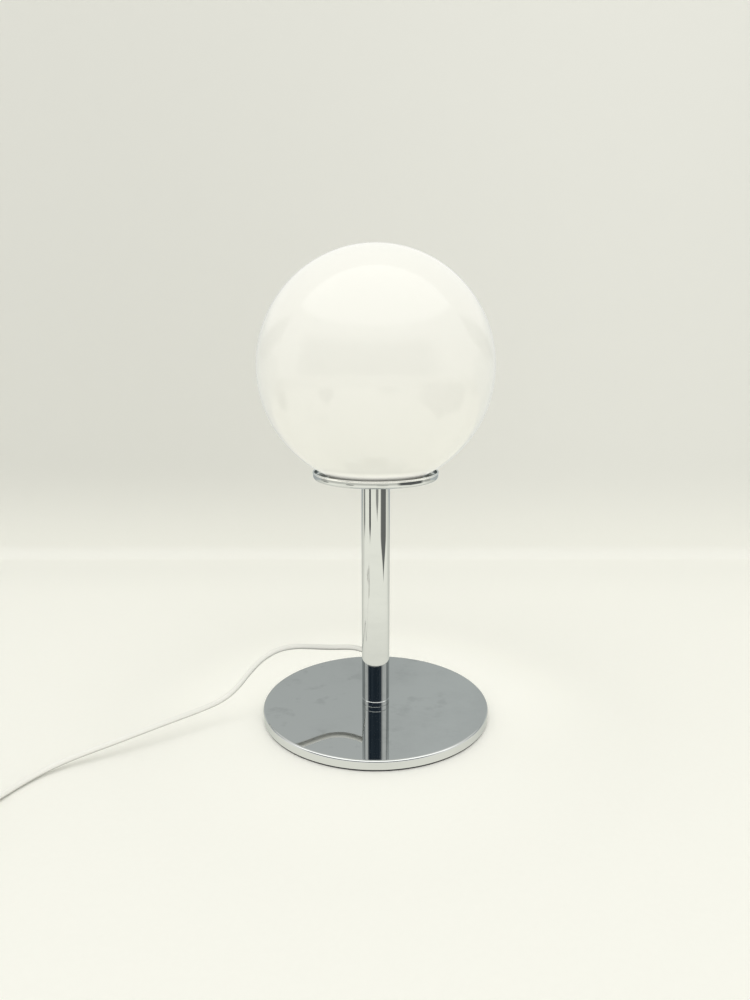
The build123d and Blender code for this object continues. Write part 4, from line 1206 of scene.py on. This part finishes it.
def sheet_finish():
    """Pale paper with painted shade on the wall, in reflections a plain glow, and clear from behind so that
    any side can be viewed.
    """
    paper = Finish("white_sheet", Roughness=0.9, Emission_Strength=1.0)
    across, behind, height = paper.axes()
    away = (across * across + behind * behind) ** 0.5
    # The wall and the back of the floor are painted greyer, the wall more so to the left: painted shade on
    # one white paper.
    shade_towards_wall = 0.25 * behind.between(0.3, 0.5) + 0.75 * height.between(0.0, 0.16)
    fibres = paper.noise(240, 3)
    floor_tone = fibres.mix(rgb(0.945, 0.942, 0.895), rgb(0.965, 0.962, 0.915))
    wall_painted_shade = across.between(-0.45, 0.45).mix(rgb(0.74, 0.74, 0.705), rgb(0.805, 0.805, 0.77))
    paper.feed(Base_Color=shade_towards_wall.mix(floor_tone, wall_painted_shade), Emission_Color=painted_fill_glow(behind, away))

    floor_light = mirrored_floor(across, behind, away)
    floor_glow = floor_light.mix(rgb(0.015, 0.02, 0.028), rgb(1.11, 1.105, 0.985))
    mirrored = height.between(0.0, 0.03).mix(floor_glow, mirrored_wall(across, height))
    glow = paper.start.add("ShaderNodeEmission", sockets={"Color": mirrored})
    glossy = paper.start.add("ShaderNodeLightPath", output="Is Glossy Ray")
    lit = Wire(paper.tree, paper.shader.outputs[0])
    seen = paper.start.add("ShaderNodeMixShader", sockets={0: glossy, 1: lit, 2: glow})
    back = paper.start.add("ShaderNodeNewGeometry", output="Backfacing")
    clear = paper.start.add("ShaderNodeBsdfTransparent")
    both = paper.start.add("ShaderNodeMixShader", sockets={0: back, 1: seen, 2: clear})
    paper.tree.links.new(both.socket, paper.tree.nodes["Material Output"].inputs["Surface"])
    return paper.material


sheet = surface("white_sheet", sheet_grid(), wrap_rows=False, wrap_columns=False, outwards=False)
sheet.data.materials.append(sheet_finish())
print("sheet normal", tuple(round(v, 2) for v in sheet.data.polygons[0].normal))

# %% [markdown]
# ## Dark side of the room
#
# Behind the camera hangs a dark curved screen that only mirrors see. The foot of the stem shows it by
# way of the plate, between two light strips, and it takes the shine off the middle of the ball.
# It fades upwards into the room.

# %% Dark screen
screen_radius = 0.80
screen_half_angle = 72
screen_low = 0.25
screen_high = 0.78


def screen_grid():
    """A part of an upright cylinder about the stem, towards the camera."""
    t = np.radians(np.linspace(-screen_half_angle, screen_half_angle, 33))
    foot = np.column_stack((screen_radius * np.sin(t), -screen_radius * np.cos(t), screen_low + 0 * t))
    return np.stack((foot, foot + (0, 0, screen_high - screen_low)))


def screen_finish():
    """A dark glow that turns into the light of the room at the sides and towards the top."""
    dark = Finish("dark_room", Base_Color=rgb(0.0, 0.0, 0.0), Specular_Ior_Level=0.0, Emission_Strength=1.0)
    across, _, height = dark.axes()
    sideways = across / screen_radius
    right_of_left_edge = sideways.between(-1.03, -0.84)
    past_right_edge = sideways.between(0.66, 0.95)
    top = height.between(0.55, screen_high)
    light = 1 - right_of_left_edge * (1 - past_right_edge) * (1 - top)
    folds = dark.noise(6, 2, 0.5, (1, 1, 0.1)).between(0.4, 0.65)
    cloth = folds.mix(rgb(0.02, 0.032, 0.046), rgb(0.06, 0.08, 0.10))
    return dark.feed(Emission_Color=light.mix(cloth, room_light))


screen = surface("dark_screen", screen_grid(), wrap_rows=False, wrap_columns=False, outwards=False)
screen.data.materials.append(screen_finish())
for rays in ("camera", "diffuse", "transmission", "shadow"):
    setattr(screen, f"visible_{rays}", False)

# %% [markdown]
# ## Room and lights
#
# A pale room gives most of the light, as in a small studio with white walls, and one wide softbox
# overhead gives the soft shadows. Mirrors see a brighter ceiling than the paper does, because the
# edges of the chrome show it as white lines, so the room's strength depends on the kind of ray.

# %% Room and lights
world = bpy.data.worlds.new("room")
bpy.context.scene.world = world
world.use_nodes = True
room = Wire(world.node_tree)
direction = room.add("ShaderNodeTexCoord", output="Generated")
upwards = room.add("ShaderNodeSeparateXYZ", sockets={0: direction}, output="Z")
in_mirror = room.add("ShaderNodeLightPath", output="Is Glossy Ray")
seen_directly = room.add("ShaderNodeLightPath", output="Is Camera Ray")
room_strength = 0.90
mirror_strength = 1.0
ceiling_strength = 1.75
direct_strength = 0.93
mirrored = mirror_strength + (ceiling_strength - mirror_strength) * upwards.between(0.60, 0.66)
strength = room_strength + (mirrored - room_strength) * in_mirror
strength = strength + (direct_strength - room_strength) * seen_directly
background = world.node_tree.nodes["Background"]
background.inputs["Color"].default_value = room_light
world.node_tree.links.new(strength.socket, background.inputs["Strength"])

softbox_place = np.array((-0.1, -0.4, 1.9))
softbox_target = np.array((0, 0, 0.15))
softbox = bpy.data.lights.new("overhead_softbox", "AREA")
softbox.shape = "RECTANGLE"
softbox.size = 2.4
softbox.size_y = 1.9
softbox.energy = 8.0
softbox.color = (1.0, 0.985, 0.95)
overhead = bpy.data.objects.new("overhead_softbox", softbox)
overhead.location = softbox_place
towards = softbox_target - softbox_place
lean = math.atan2(towards[2], math.hypot(towards[0], towards[1]))
turn = math.atan2(towards[1], towards[0]) - math.pi / 2
overhead.rotation_euler = (math.pi / 2 + lean, 0, turn)
overhead.visible_glossy = False
stage_objects.link(overhead)
print("lights", overhead.name, softbox.energy)
